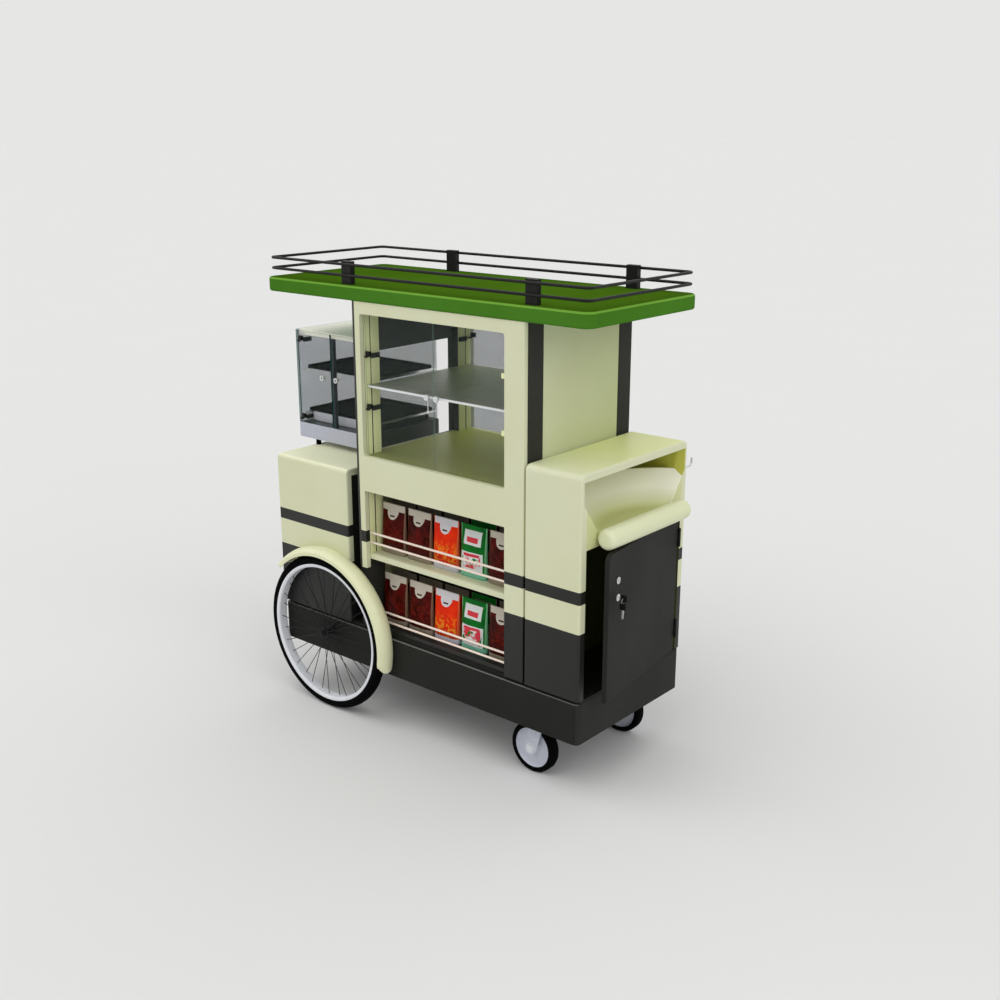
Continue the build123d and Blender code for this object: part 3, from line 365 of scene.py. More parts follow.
paintCoat = dict(scale=2.4, grain=420.0, rough=0.42, bump=0.05)
darkCoat = dict(paintCoat, tones=dark, rough=0.55, sheen=0.1)
metalCoat = dict(scale=40.0, grain=160.0, rough=0.34, bump=0.03)
brightTones = (tone(222, 222, 220), tone(200, 200, 200))
coats = {
    # the push handle's cream is painted brighter than the cabinet's: painted light against the shade under the
    # lid
    "moulding": dict(paintCoat, tones=(tone(253, 253, 238), tone(250, 250, 231)), rough=0.38,
                     areas=((scoopShadeArea, (tone(214, 218, 156), tone(206, 211, 146))),
                            (gripArea, (tone(230, 233, 196), tone(225, 229, 188))),
                            (webShadeArea, (tone(214, 218, 162), tone(206, 211, 152))))),
    "fender": dict(paintCoat, tones=(tone(232, 234, 194), tone(227, 229, 186)), rough=0.28, sheen=0.5),
    # the warmer's lid is painted brighter than its cream: painted light for the light it loses under the roof
    "lid": dict(paintCoat, tones=(tone(253, 253, 238), tone(250, 250, 232))),
    # upward faces are painted lighter: painted light where the warmer and the roof shade them
    "banded": dict(paintCoat, tones=cream,
                   areas=((bandArea, bandDark), (topArea, (tone(252, 253, 220), tone(247, 248, 212))))),
    "frontPanel": dict(paintCoat, tones=cream, areas=((bandArea, bandDark), (stripArea, postDark))),
    "endCabinet": dict(paintCoat, tones=cream,
                       areas=((bandArea, bandDark), (lidReflectionArea, (tone(236, 239, 172), tone(231, 235, 164))),
                              (hollowShadeArea, (tone(196, 196, 84), tone(186, 186, 72))),
                              (insideShadeArea, paintedInsideShade))),
    "dark": darkCoat,
    # the skirt's top faces are painted light as a painted highlight along its edge, and its right end faces
    # lighter as painted light
    "skirt": dict(darkCoat, areas=((topArea, (tone(128, 130, 124), tone(112, 114, 108))),
                                   (innerEndArea, (tone(48, 48, 45), tone(43, 43, 41))))),
    "door": dict(darkCoat, tones=(tone(39, 39, 37), tone(35, 35, 33))),
    # the post's jamb faces are cream paint, painted brighter as painted light inside the display
    "post": dict(darkCoat, tones=postDark, areas=((jambArea, paintedLightCream),)),
    # the clamps inside the window take the same brighter cream: painted light
    "clamp": dict(paintCoat, tones=paintedLightCream),
    "sidePanel": dict(paintCoat, tones=cream,
                      areas=((farEndShadeArea, (tone(194, 200, 150), tone(188, 195, 142))),
                             (headerArea, darkGrey), (hiddenSideShadeArea, paintedInsideShade))),
    "goodsShelf": dict(paintCoat, tones=cream, areas=((lowShelfArea, dark),)),
    # the roof's top is painted a darker green than its sides: painted shade
    "green": dict(paintCoat, tones=(tone(76, 129, 42), tone(68, 117, 34)), rough=0.7, sheen=0.0,
                  areas=((topArea, (tone(68, 104, 22), tone(62, 96, 17))),
                         (edgeHighlightArea, (tone(118, 168, 66), tone(110, 160, 58))))),
    # the display floor is painted olive at the front and pale at the back: painted shade and painted light
    "displayFloor": dict(paintCoat, tones=(tone(138, 142, 76), tone(130, 134, 70)),
                         areas=((depthLightArea, (tone(226, 231, 122), tone(218, 224, 114))),)),
    "black": dict(metalCoat, tones=(tone(26, 25, 24), tone(19, 18, 17)), rough=0.42, sheen=0.2),
    "keyHead": dict(metalCoat, tones=keyBlack, rough=0.5, sheen=0.15),
    "bright": dict(metalCoat, tones=brightTones, rough=0.2, metallic=0.85, bump=0.02),
    "knob": dict(metalCoat, tones=(tone(232, 234, 234), tone(220, 223, 224)), rough=0.22, metallic=0.3,
                 bump=0.02),
    "lockFace": dict(metalCoat, tones=brightTones, rough=0.2, metallic=0.85, areas=((keyholeShadeArea, keyBlack),)),
    # the warmer base's right-hand faces are painted dark: painted shade between the warmer and the tower
    "caseSteel": dict(metalCoat, tones=(tone(196, 198, 212), tone(186, 188, 204)), scale=30.0,
                      stretch=(1.0, 1.0, 14.0), metallic=0.2,
                      areas=((topArea, darkGrey), (innerEndArea, dark))),
    "mullion": dict(metalCoat, tones=(tone(44, 48, 60), tone(36, 40, 52))),
    "spoke": dict(metalCoat, tones=(tone(36, 36, 38), tone(26, 26, 28)), rough=0.5, sheen=0.15),
    "chassis": dict(metalCoat, tones=(tone(62, 61, 58), tone(48, 47, 45)), scale=24.0, rough=0.55,
                    metallic=0.3, bump=0.06),
    # the shelf is painted darker at the front and lighter at the back: painted shade and painted light
    "shelf": dict(metalCoat, tones=(tone(122, 125, 112), tone(114, 117, 104)), scale=18.0, metallic=0.1,
                  areas=((depthLightArea, (tone(216, 221, 184), tone(208, 213, 176))),
                         (frontArea, (tone(236, 238, 238), tone(228, 231, 232))))),
    "tray": dict(metalCoat, tones=(tone(11, 12, 14), tone(7, 8, 9)), scale=30.0, rough=0.7, sheen=0.02),
    "drawer": dict(metalCoat, tones=(tone(16, 17, 19), tone(11, 12, 14)), scale=30.0, rough=0.6, sheen=0.05,
                   areas=((frontArea, (tone(206, 208, 214), tone(196, 198, 206))),)),
    "wire": dict(metalCoat, tones=(tone(248, 232, 218), tone(240, 222, 206)), rough=0.26, metallic=0.1),
    "rim": dict(metalCoat, tones=(tone(232, 234, 238), tone(222, 225, 231)), scale=14.0, rough=0.3, bump=0.02),
    "caster": dict(metalCoat, tones=(tone(204, 207, 218), tone(194, 198, 210)), scale=26.0, rough=0.4,
                   areas=((hubArea, (tone(224, 228, 232), tone(216, 220, 226))),)),
    "rubber": dict(metalCoat, tones=(tone(7, 7, 8), tone(4, 4, 5)), scale=90.0, rough=0.75, sheen=0.03,
                   bump=0.25),
}
looks = {look: coat(look + "Finish", values) for look, values in coats.items()}

paneWipe = dict(blend=0.35, scale=5.0, detail=3.0, low=0.35, high=0.75, most=0.006, clean=0.03, smeared=0.08,
                sheen=0.6)
caseAt = dict(left=-0.4705, right=-0.4, front=-0.12)


def glass(name, values):
    # thin pane: faces with a little tint that mirror at a slant, green edges where the cut glass shows
    item = Finish(name)
    slant = item.start.via("ShaderNodeLayerWeight", {"Blend": paneWipe["blend"]}, out=0)
    edge = values["edges"](item)
    most = paneWipe["most"]
    wipe = item.ramp(item.noise(paneWipe["scale"], paneWipe["detail"]), paneWipe["low"], paneWipe["high"],
                     0.0, most)
    face = slant * values["slant"] + values["face"] + wipe
    color = values["tint"]
    if values.get("smoked"):
        # the warmer's left and rear panes are smoked
        smoked = item.axis("X") < values["smoked"]
        face = face + smoked * values["smoke"]
        color = item.mix(smoked, color, values["smokeTint"])
    return item.put(Base_Color=item.mix(edge, color, values["edgeTint"]), Specular_IOR_Level=paneWipe["sheen"],
                    Alpha=item.ramp(edge, 0.0, 1.0, face, values["edgeAlpha"]),
                    Roughness=item.ramp(wipe, 0.0, most, paneWipe["clean"], paneWipe["smeared"]))


def leafEdges(item):
    # all faces of a door leaf but its front and back
    return 1.0 - (abs(item.axis("Y", item.facing)) > faceOn)


def caseEdges(item):
    # level cut faces, the front ends of the side panes and the rear end of the right one
    sideways, along = item.axis("Y", item.facing), item.axis("X")
    ends = (abs(sideways) > faceOn) * (item.axis("Y") < caseAt["front"])
    rearEnd = (sideways > faceOn) * (along > caseAt["left"]) * (along < caseAt["right"])
    return (abs(item.axis("Z", item.facing)) > faceOn) + ends + rearEnd


clearPane = dict(edges=leafEdges, tint=tone(150, 168, 160), edgeTint=tone(138, 172, 160), face=0.006,
                 slant=0.03, edgeAlpha=0.28)
panes = {
    "leaf": clearPane,
    "rearLeaf": dict(clearPane, tint=tone(86, 118, 148), face=0.39),
    "warmerLeaf": dict(clearPane, edgeTint=tone(40, 92, 86), edgeAlpha=0.95),
    "case": dict(clearPane, edges=caseEdges, edgeTint=tone(48, 102, 95), edgeAlpha=0.95,
                 smoked=caseAt["left"], smoke=0.40, smokeTint=tone(80, 120, 152)),
}
for look, values in panes.items():
    looks[look] = glass(look + "Glass", values)
print("materials made")

wear = {
    "banded": ["rear_panel", "left_cabinet"],
    "frontPanel": ["front_panel"],
    "endCabinet": ["right_cabinet"],
    "displayFloor": ["display_floor"],
    "sidePanel": ["side_panels"],
    "goodsShelf": ["product_shelves"],
    "lid": ["warmer_top"],
    "moulding": ["push_handle"],
    "fender": ["near_fender", "far_fender"],
    "clamp": [],
    "dark": ["deck", "bay_back", "left_cabinet_ends"],
    "skirt": ["skirt"],
    "door": ["end_door"],
    "post": ["corner_posts"],
    "green": ["roof"],
    "black": ["roof_rail", "hinge_brackets", "end_door_fittings"],
    "mullion": ["warmer_mullion"],
    "chassis": ["chassis_frame"],
    "rim": ["near_rim", "far_rim"],
    "rubber": ["near_tyre", "far_tyre", "near_caster_tyre", "far_caster_tyre", "warmer_feet"],
    "caster": ["near_caster_disc", "far_caster_disc", "near_caster_fork", "far_caster_fork", "caster_plates"],
    "spoke": ["axle", "near_hub_and_spokes", "far_hub_and_spokes"],
    "caseSteel": ["warmer_base"],
    "wire": ["guard_wires"],
    "bright": ["bag_hook", "lower_lock_plug", "warmer_rails"],
    "lockFace": ["upper_lock_plug"],
    "shelf": ["display_shelf"],
    "tray": ["warmer_trays"],
    "case": ["fixed_glass"],
    "leaf": [],
    "rearLeaf": [],
    "warmerLeaf": [],
}
leaves = ("front_left", "front_right", "rear_left", "rear_right", "warmer_left", "warmer_right")
leafPanes = {"front": "leaf", "rear": "rearLeaf", "warmer": "warmerLeaf"}
for leaf in leaves:
    wear[leafPanes[leaf.split("_")[0]]].append(leaf + "_door")
    wear["clamp" if leaf == "front_right" else "black"].append(leaf + "_door_fittings")
for look, names in wear.items():
    for name in names:
        mesh = nodes[name].data
        mesh.materials.clear()
        mesh.materials.append(looks[look])


def faceMiddles(name):
    # the middle of each face of a node, one row per face
    mesh = nodes[name].data
    middles = np.empty(3 * len(mesh.polygons))
    mesh.polygons.foreach_get("center", middles)
    return middles.reshape(-1, 3)


def repaint(name, look, chosen):
    # a second look on the chosen faces of a node
    mesh = nodes[name].data
    mesh.materials.append(looks[look])
    slots = np.where(chosen, len(mesh.materials) - 1, 0).astype(np.int32)
    mesh.polygons.foreach_set("material_index", slots)


for leaf in leaves:
    across = faceMiddles(leaf + "_door_fittings")[:, 0]
    fromMiddle = across - (across.min() + across.max()) / 2
    knobSide = fromMiddle > 0 if leaf.endswith("left") else fromMiddle < 0
    repaint(leaf + "_door_fittings", "knob", knobSide)
repaint("end_door_fittings", "bright", faceMiddles("end_door_fittings")[:, 1] < 0)
lowerLock = joints["lower_lock_turn"]
lockOut = -np.array(lowerLock["axis"])
keyHeadFrom = 0.0085
keyReach = (faceMiddles("lower_lock_plug") - lowerLock["pos_m"]) @ lockOut
repaint("lower_lock_plug", "keyHead", keyReach > keyHeadFrom)
print("frame painted")


def gridMesh(name, points, look, uv=None, ring=False, caps=(), smooth=True):
    # points is rows x columns x 3; columns close on themselves, and rows too when ring is set
    rows, cols = points.shape[:2]
    index = np.arange(rows * cols).reshape(rows, cols)
    if ring:
        index = np.concatenate([index, index[:1]])
    right = np.roll(index, -1, axis=1)
    faces = np.stack([index[:-1], right[:-1], right[1:], index[1:]], axis=-1).reshape(-1, 4).tolist()
    if 0 in caps:
        faces.append(index[0][::-1].tolist())
    if 1 in caps:
        faces.append(index[-1].tolist())
    mesh = bpy.data.meshes.new(name)
    mesh.from_pydata(points.reshape(-1, 3).tolist(), [], faces)
    if uv is not None:
        layer = mesh.uv_layers.new(name="UVMap")
        corners = np.empty(len(mesh.loops), dtype=np.int32)
        mesh.loops.foreach_get("vertex_index", corners)
        layer.data.foreach_set("uv", uv.reshape(-1, 2)[corners].astype(np.float32).ravel())
    mesh.polygons.foreach_set("use_smooth", np.full(len(mesh.polygons), smooth))
    mesh.materials.append(look)
    mesh.update()
    piece = bpy.data.objects.new(name, mesh)
    scene.collection.objects.link(piece)
    return piece


def roundAngles(sides):
    # equal steps round a full circle
    return np.linspace(0.0, 2 * np.pi, sides, endpoint=False)


def squaredPart(part, power):
    # a sine or cosine raised to a power with its sign kept
    return np.sign(part) * np.abs(part) ** power


pouch = dict(width=0.128, height=0.2045, lift=0.0003, rows=56, cols=72, seal=0.9, film=0.03, most=0.0248,
             levels=(0.0, 0.06, 0.22, 0.5, 0.75, 0.9, 1.0),
             depths=(0.03354, 0.039, 0.049, 0.042, 0.026, 0.00585, 0.0045),
             lensLevels=(0.0, 0.25, 0.8, 1.0), lenses=(0.45, 0.8, 0.95, 0.35), seam=0.75, waist=0.02,
             dent=0.0012, creases=6, across=(3, 2), up=(10, 6), fade=1.5,
             ridge=0.0005, ridges=380, ridgeGap=0.02)


def pouchPoints(at, seed):
    # stand-up pouch: the depth follows the height, and a bent circle gives each level thin side seams
    rng = np.random.default_rng(seed)
    up = np.linspace(0.0, 1.0, pouch["rows"])[:, None]
    angle = roundAngles(pouch["cols"])[None, :]
    depth = np.interp(up, pouch["levels"], pouch["depths"])
    lens = np.interp(up, pouch["lensLevels"], pouch["lenses"])
    sine = np.sin(angle)
    across = squaredPart(np.cos(angle), pouch["seam"])
    thick = squaredPart(sine, lens)
    phase = rng.uniform(0, 2 * np.pi, pouch["creases"])
    crease = np.zeros_like(thick)
    for step in range(pouch["creases"]):
        wave = (pouch["across"][0] + pouch["across"][1] * step) * across
        wave = wave + (pouch["up"][0] + pouch["up"][1] * step) * up + phase[step]
        crease = crease + np.sin(wave) / (step + pouch["fade"])
    film = (up < pouch["seal"]) * (up > pouch["film"])
    swell = depth / 2 * thick + pouch["dent"] * crease * np.abs(thick) * film * np.sign(sine)
    half = pouch["width"] / 2 * (1.0 - pouch["waist"] * np.sin(np.pi * up) ** 2)
    ridge = pouch["ridge"] * np.sin(up * pouch["ridges"]) * (up > pouch["seal"] + pouch["ridgeGap"])
    points = np.stack([at[0] + across * half, at[1] + np.clip(swell + ridge, -pouch["most"], pouch["most"]),
                       at[2] + pouch["lift"] + up * pouch["height"] + 0 * across], axis=-1)
    uv = np.stack([0 * up + across * 0.5 + 0.5, up + 0 * across], axis=-1)
    return points, uv


# noises are scale, detail and roughness; windows and fields are shares of the film's height and width
filmPlan = dict(field=(22.0, 3.0), fieldWindow=(0.35, 0.65), crumbs=(70.0, 2.0), crumbWindow=(0.48, 0.6),
                crumbFoot=0.2, low=(0.34, 0.2), lower=(-1.0, 0.5, 0.42), blots=(26.0, 3.0),
                blotWindow=(0.46, 0.54), blotField=(0.2, 0.46, 0.34), leaves=(34.0, 2.0),
                leafWindow=(0.57, 0.62), leafField=(0.14, 0.4, 0.38), belt=(0.42, 0.475, 0.3),
                label=(0.63, 0.9, 0.34), bar=(0.68, 0.78, 0.22), tabHalf=0.23, tabEdge=0.87, tabDrop=0.17,
                slot=(0.755, 0.785, 0.1), seam=0.465, gusset=0.10, crinkle=(34.0, 4.0, 0.6),
                crinkleWindow=(0.3, 0.7), rough=(0.32, 0.48), coat=0.03, coatRough=0.1, sheen=0.06,
                bump=0.22, relief=0.002)


def patch(up, away, field):
    # a field on the film: between two heights, and within half a width of the middle
    low, high, half = field
    return (up > low) * (up < high) * (away < half)


def foil(name, values):
    # plain printed film: pale header with a round tab, mottled field, pale gusset
    item, plan = Finish(name), filmPlan
    uvNode = item.tree.nodes.new("ShaderNodeUVMap")
    flat = Sock(item.tree, uvNode.outputs[0])
    across, up = item.axis("X", flat), item.axis("Y", flat)
    away = abs(across - 0.5)
    color = item.mix(item.ramp(item.noise(*plan["field"]), *plan["fieldWindow"]), *values["field"])
    crumbs = item.ramp(item.noise(*plan["crumbs"]), *plan["crumbWindow"])
    crumbs = crumbs * item.ramp(up, values["pictureTop"], plan["crumbFoot"])
    color = item.mix(crumbs * values["pictureShare"], color, values["picture"])
    color = item.mix(item.ramp(up, *plan["low"]) * values["lowShare"], color, values["low"])
    if values.get("framed"):
        # pale lower field and a pale label inside the coloured frame
        color = item.mix(patch(up, away, plan["lower"]), color, values["header"])
        blot = item.ramp(item.noise(*plan["blots"]), *plan["blotWindow"])
        color = item.mix(blot * patch(up, away, plan["blotField"]), color, values["accent"])
        leafy = item.ramp(item.noise(*plan["leaves"]), *plan["leafWindow"])
        color = item.mix(leafy * patch(up, away, plan["leafField"]), color, values["field"][0])
        color = item.mix(patch(up, away, plan["belt"]), color, values["accent"])
        color = item.mix(patch(up, away, plan["label"]), color, values["header"])
        color = item.mix(patch(up, away, plan["bar"]), color, values["accent"])
    else:
        # the header's lower edge drops in half an ellipse about the middle
        share = item.start.calc("MINIMUM", away * away / plan["tabHalf"] ** 2, 1.0)
        edge = plan["tabEdge"] - item.start.calc("SQRT", 1.0 - share) * plan["tabDrop"]
        color = item.mix(up > edge, color, values["header"])
        color = item.mix(patch(up, away, plan["slot"]), color, values["accent"])
    color = item.mix(away > plan["seam"], color, values["seam"])
    color = item.mix(up < plan["gusset"], color, values["gusset"])
    crinkle = item.noise(*plan["crinkle"])
    return item.put(Base_Color=color, Roughness=item.ramp(crinkle, *plan["crinkleWindow"], *plan["rough"]),
                    Coat_Weight=plan["coat"], Coat_Roughness=plan["coatRough"],
                    Specular_IOR_Level=plan["sheen"], Normal=item.bump(crinkle, plan["bump"], plan["relief"]))


brownFilm = dict(field=(tone(92, 12, 6), tone(48, 5, 2)), picture=tone(140, 44, 26), pictureTop=0.75,
                 pictureShare=0.45, low=tone(64, 10, 5), lowShare=1.0, seam=tone(132, 104, 84),
                 header=tone(202, 194, 180), accent=tone(66, 52, 46), gusset=tone(150, 138, 120))
redFilm = dict(brownFilm, field=(tone(240, 52, 8), tone(222, 38, 8)), picture=tone(244, 168, 44),
               pictureTop=0.6, pictureShare=1.0, low=tone(160, 30, 10), lowShare=0.5, seam=tone(228, 96, 60),
               header=tone(216, 212, 216), gusset=tone(204, 202, 214))
greenFilm = dict(brownFilm, field=(tone(12, 116, 36), tone(8, 94, 30)), picture=tone(14, 124, 44),
                 pictureTop=0.3, low=tone(12, 116, 36), seam=tone(120, 190, 140), header=tone(220, 224, 222),
                 accent=tone(212, 62, 74), gusset=tone(126, 198, 168), framed=True)
prints = dict(brown=brownFilm, red=redFilm, green=greenFilm)
backHeader = tone(104, 97, 86)  # the back row stands in shade
films = [{name: foil(name + "Film", values) for name, values in prints.items()},
         {name: foil(name + "BackFilm", dict(values, header=backHeader, seam=backHeader))
          for name, values in prints.items()}]
packRows = dict(middle=0.0732, pitch=0.141, rows=(("Front", -0.240), ("Back", -0.186)),
                shelves=(("Upper", 0.705), ("Lower", 0.408)),
                order=("brown", "brown", "red", "green", "brown"), seeds=(11, 17, 7))
firstSeed, levelSeed, rowSeed = packRows["seeds"]
for level, (shelfName, shelfTop) in enumerate(packRows["shelves"]):
    for row, (rowName, depth) in enumerate(packRows["rows"]):
        for column, film in enumerate(packRows["order"]):
            fromMiddle = column - len(packRows["order"]) // 2
            at = (packRows["middle"] + fromMiddle * packRows["pitch"], depth, shelfTop)
            points, uv = pouchPoints(at, firstSeed + levelSeed * level + rowSeed * row + column)
            piece = gridMesh(f"pouch{shelfName}{rowName}{column}", points, films[row][film], uv, caps=(0, 1))
            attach(piece, "cart")
            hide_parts("packets")
print("pouches filled")


def ringMesh(name, middle, across, radius, wire, look, steps=40, sides=14):
    # round wire on a circle that stands in the plane of one level direction and the vertical
    across = np.array(across)
    turn = roundAngles(steps)[:, None, None]
    around = roundAngles(sides)[None, :, None]
    outward = across * np.cos(turn) + vertical * np.sin(turn)
    points = np.array(middle) + outward * (radius + wire * np.cos(around))
    points = points + np.cross(across, vertical) * wire * np.sin(around)
    return gridMesh(name, points, look, ring=True)


def turnedMesh(name, middle, axis, profile, look, sides=36):
    # a profile of (way along the axis, radius) turned about the axis and closed at both ends
    axis = np.array(axis) / np.linalg.norm(axis)
    first = np.cross(vertical, axis)
    second = np.cross(axis, first)
    angle = roundAngles(sides)[None, :, None]
    along, radius = np.array(profile).T[:, :, None, None]
    points = np.array(middle) + axis * along + radius * (first * np.cos(angle) + second * np.sin(angle))
    return gridMesh(name, points, look, caps=(0, 1))


def plateMesh(name, middle, across, outline, thick, look):
    # an outline of (sideways, up) given a thickness
    across = np.array(across)
    sideways, up = np.array(outline).T[:, None, :, None]
    layer = np.array([-thick / 2, thick / 2])[:, None, None]
    points = np.array(middle) + across * sideways + vertical * up + np.cross(across, vertical) * layer
    return gridMesh(name, points, look, caps=(0, 1), smooth=False)


padEnds = dict(levels=(-1.0, -0.9, -0.7, 0.7, 0.9, 1.0), shares=(1.0, 0.3, 0.0, 0.0, 0.3, 1.0))


def padMesh(name, middle, axes, halves, soft, look, square=0.4, sides=48):
    # a soft-cornered block: a squared circle on the first two axes, drawn in towards both ends of the third
    across, along, through = np.array(axes, dtype=float)[:, None, None, :]
    angle = roundAngles(sides)[None, :, None]
    level = np.array(padEnds["levels"])[:, None, None]
    size = 1 - soft * np.array(padEnds["shares"])[:, None, None]
    flat = across * halves[0] * squaredPart(np.cos(angle), square)
    flat = flat + along * halves[1] * squaredPart(np.sin(angle), square)
    points = np.array(middle) + size * flat + through * halves[2] * level
    return gridMesh(name, points, look, caps=(0, 1))


def hang(piece, body):
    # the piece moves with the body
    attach(piece, body)


knobs = dict(profile=((-0.0004, 0.0042), (0.00045, 0.0042), (0.0009, 0.00336), (0.00117, 0.00126)))
for leaf in leaves:
    low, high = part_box(leaf + "_door_fittings")
    middles = faceMiddles(leaf + "_door_fittings")
    far = middles[:, 0] > (low[0] + high[0]) / 2
    ends = middles[far if leaf.endswith("left") else ~far]
    rear = leaf.startswith("rear")
    at = ((ends[:, 0].min() + ends[:, 0].max()) / 2, high[1] if rear else low[1],
          (ends[:, 2].min() + ends[:, 2].max()) / 2)
    outward = (0.0, 1.0 if rear else -1.0, 0.0)
    eyeLook, eyeSlot = ("black", "black_metal") if leaf.startswith("warmer") else ("bright", "bright_metal")
    hang(turnedMesh(leaf + "KnobEye", at, outward, knobs["profile"], looks[eyeLook]), leaf + "_leaf")

# ring and strap on the front left knob; the strap ends in a disc
pull = dict(knob=(0.0492, -0.307, 1.385), neck=0.0061, ring=0.0085, wire=0.0009, half=0.0021, length=0.040,
            disc=0.0058, thick=0.0014, steps=25)
sideways = (1.0, 0.0, 0.0)
ringMiddle = np.array(pull["knob"]) + vertical * (pull["neck"] - pull["ring"] + pull["wire"])
hang(ringMesh("knobPullRing", ringMiddle, sideways, pull["ring"], pull["wire"], looks["bright"]),
     "front_left_leaf")
meet = math.asin(pull["half"] / pull["disc"])
swing = np.linspace(-meet, meet - 2 * math.pi, pull["steps"])
discMiddle = -pull["length"] - pull["disc"] * math.cos(meet)
outline = [(-pull["half"], 0.0)]
outline += [(pull["disc"] * math.sin(turn), discMiddle + pull["disc"] * math.cos(turn)) for turn in swing]
outline += [(pull["half"], 0.0)]
hang(plateMesh("knobPullStrap", ringMiddle - vertical * pull["ring"], sideways, outline, pull["thick"],
               looks["bright"]), "front_left_leaf")

# teeth are (share of the half width, height above the tip)
keys = dict(reach=0.0205, halves=(0.0118, 0.0120, 0.0035), soft=0.2, ring=0.0104, wire=0.0006, ease=0.0003,
            drop=0.0205, half=0.0040, length=0.0355, blade=0.0022, bite=0.95,
            teeth=((-1.0, 0.003), (-0.2, 0.0), (0.5, 0.003), (1.0, 0.006), (0.55, 0.010), (1.0, 0.013),
                   (0.6, 0.017), (1.0, 0.021)))
lockAcross = np.cross(vertical, lockOut)
bowMiddle = np.array(lowerLock["pos_m"]) + lockOut * keys["reach"]
# the ring leans half a right angle, so the key's solid bow clears it through its quarter turn
ringMiddle = bowMiddle - (vertical + lockAcross) * (keys["ring"] - keys["ease"]) * np.sqrt(0.5)
spareMiddle = ringMiddle - vertical * keys["drop"]
bowAxes = (lockOut, vertical, np.cross(lockOut, vertical))
hang(padMesh("keyBow", bowMiddle, bowAxes, keys["halves"], keys["soft"], looks["keyHead"]),
     "lower_lock")
hang(ringMesh("spareKeyRing", ringMiddle, lockAcross, keys["ring"], keys["wire"], looks["bright"]),
     "handle_end_door")
hang(padMesh("spareKeyBow", spareMiddle, bowAxes, keys["halves"], keys["soft"], looks["keyHead"]),
     "handle_end_door")
outline = [(-keys["half"], 0.0)]
outline += [(keys["half"] * share, rise - keys["length"]) for share, rise in keys["teeth"]]
outline += [(keys["half"], 0.0)]
bladeTop = spareMiddle - vertical * keys["halves"][1] * keys["bite"]
hang(plateMesh("spareKeyBlade", bladeTop, lockOut, outline, keys["blade"], looks["bright"]),
     "handle_end_door")

# deep pan of the lower tray, from the tray's underside to just above the warmer's base
drawer = dict(side=0.012, clear=0.0008, soft=0.006, square=0.08)
trayLow, trayHigh = (np.array(corner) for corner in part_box("warmer_trays"))
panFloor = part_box("warmer_base")[1][2] + drawer["clear"]
panMiddle = (trayLow + trayHigh) / 2
panMiddle[2] = (panFloor + trayLow[2]) / 2
panHalves = (trayHigh - trayLow) / 2 - (drawer["side"], drawer["clear"], 0.0)
panHalves[2] = (trayLow[2] - panFloor) / 2
hang(padMesh("lowerTrayPan", panMiddle, np.eye(3), panHalves, drawer["soft"], looks["drawer"],
             drawer["square"]), "cart")
print("keys, knob eyes and pan fitted")

softEdges = {
    0.0025: ["front_panel", "rear_panel", "left_cabinet", "right_cabinet", "end_door", "side_panels",
             "corner_posts"],
    0.0015: ["deck", "product_shelves", "display_floor", "left_cabinet_ends", "bay_back", "chassis_frame"],
    0.0010: ["display_shelf", "warmer_base", "warmer_top", "warmer_mullion", "hinge_brackets",
             "end_door_fittings"],
    0.0005: ["warmer_trays", "warmer_rails", "bag_hook", "upper_lock_plug", "lower_lock_plug"],
}
softening = dict(merge=0.00001, segments=3, angle=40.0)
for width, names in softEdges.items():
    for name in names:
        weld = nodes[name].modifiers.new("weld", "WELD")
        weld.merge_threshold = softening["merge"]
        bevel = nodes[name].modifiers.new("softEdge", "BEVEL")
        bevel.width = width
        bevel.segments = softening["segments"]
        bevel.limit_method = "ANGLE"
        bevel.angle_limit = math.radians(softening["angle"])
        nodes[name].modifiers.new("evenShade", "WEIGHTED_NORMAL")
print("edges softened")

ground = dict(span=400.0, scale=0.8, tones=(tone(226, 226, 225), tone(224, 224, 223)), rough=0.9)
span = ground["span"]
floorMesh = bpy.data.meshes.new("floor")
floorMesh.from_pydata([(-span, -span, 0), (span, -span, 0), (span, span, 0), (-span, span, 0)], [],
                      [(0, 1, 2, 3)])
floor = bpy.data.objects.new("floor", floorMesh)
scene.collection.objects.link(floor)
paleFloor = Finish("paleFloor")
floorColor = paleFloor.mix(paleFloor.noise(ground["scale"]), *ground["tones"])
floorMesh.materials.append(paleFloor.put(Base_Color=floorColor, Roughness=ground["rough"],
                                         Specular_IOR_Level=0.0))

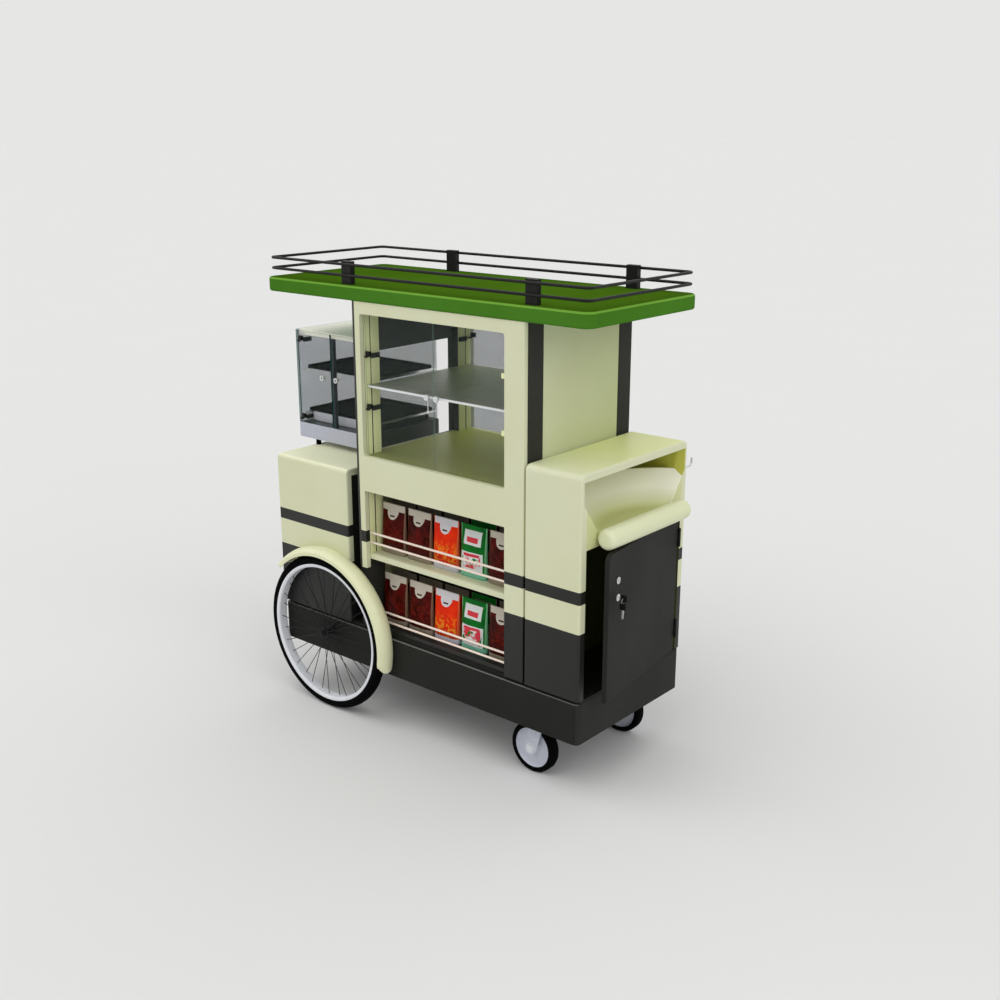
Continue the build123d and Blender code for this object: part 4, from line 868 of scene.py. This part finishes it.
studio = dict(backdrop=tone(230, 230, 229), horizon=0.17, dome=0.55, rise=0.30)
world = bpy.data.worlds.new("studio")
scene.world = world
world.use_nodes = True
sky = Sock(world.node_tree, None)
camRay, glossRay, clearRay = (sky.via("ShaderNodeLightPath", out=f"Is {kind} Ray")
                              for kind in ("Camera", "Glossy", "Transmission"))
seen = sky.calc("MINIMUM", camRay + glossRay + clearRay, 1.0)
height = sky.via("ShaderNodeSeparateXYZ", {0: sky.via("ShaderNodeTexCoord", out="Generated")}, out=2)
dome = sky.via("ShaderNodeMapRange", {0: height, 1: 0.0, 2: studio["rise"], 3: studio["horizon"],
                                      4: studio["dome"]})
glow = sky.via("ShaderNodeCombineColor", {0: dome, 1: dome, 2: dome})
shown = sky.via("ShaderNodeMix", {0: seen, 6: glow, 7: studio["backdrop"]}, out=2, data_type="RGBA")
plug(world.node_tree, world.node_tree.nodes["Background"].inputs["Color"], shown)

lampDistance = 4.0
lamps = {
    "frontSky": dict(way=(0.12, 0.54, -0.83), strength=0.82, wide=60.0),
    "backSky": dict(way=(0.10, -0.55, -0.83), strength=0.42, wide=60.0),
    "rightSky": dict(way=(-0.80, 0.20, -0.56), strength=0.70, wide=50.0),
    "leftSky": dict(way=(0.80, 0.20, -0.56), strength=0.36, wide=50.0),
}
for name, values in lamps.items():
    light = bpy.data.lights.new(name, "SUN")
    light.energy = values["strength"]
    light.angle = math.radians(values["wide"])
    lamp = bpy.data.objects.new(name, light)
    way = values["way"]
    lamp.location = [-lampDistance * part for part in way]
    pitch = math.atan2(math.hypot(way[0], way[1]), -way[2])
    lamp.rotation_euler = (pitch, 0.0, math.atan2(-way[0], way[1]))
    scene.collection.objects.link(lamp)

view = dict(lens=44.19, sensor=36.0, place=(3.1149, -3.5022, 2.3163), tilt=73.32, turn=40.39)
lens = bpy.data.cameras.new("photoCamera")
lens.lens = view["lens"]
lens.sensor_width = view["sensor"]
camera = bpy.data.objects.new("photoCamera", lens)
camera.location = view["place"]
camera.rotation_euler = (math.radians(view["tilt"]), 0.0, math.radians(view["turn"]))
scene.collection.objects.link(camera)
scene.camera = camera
print("studio set")
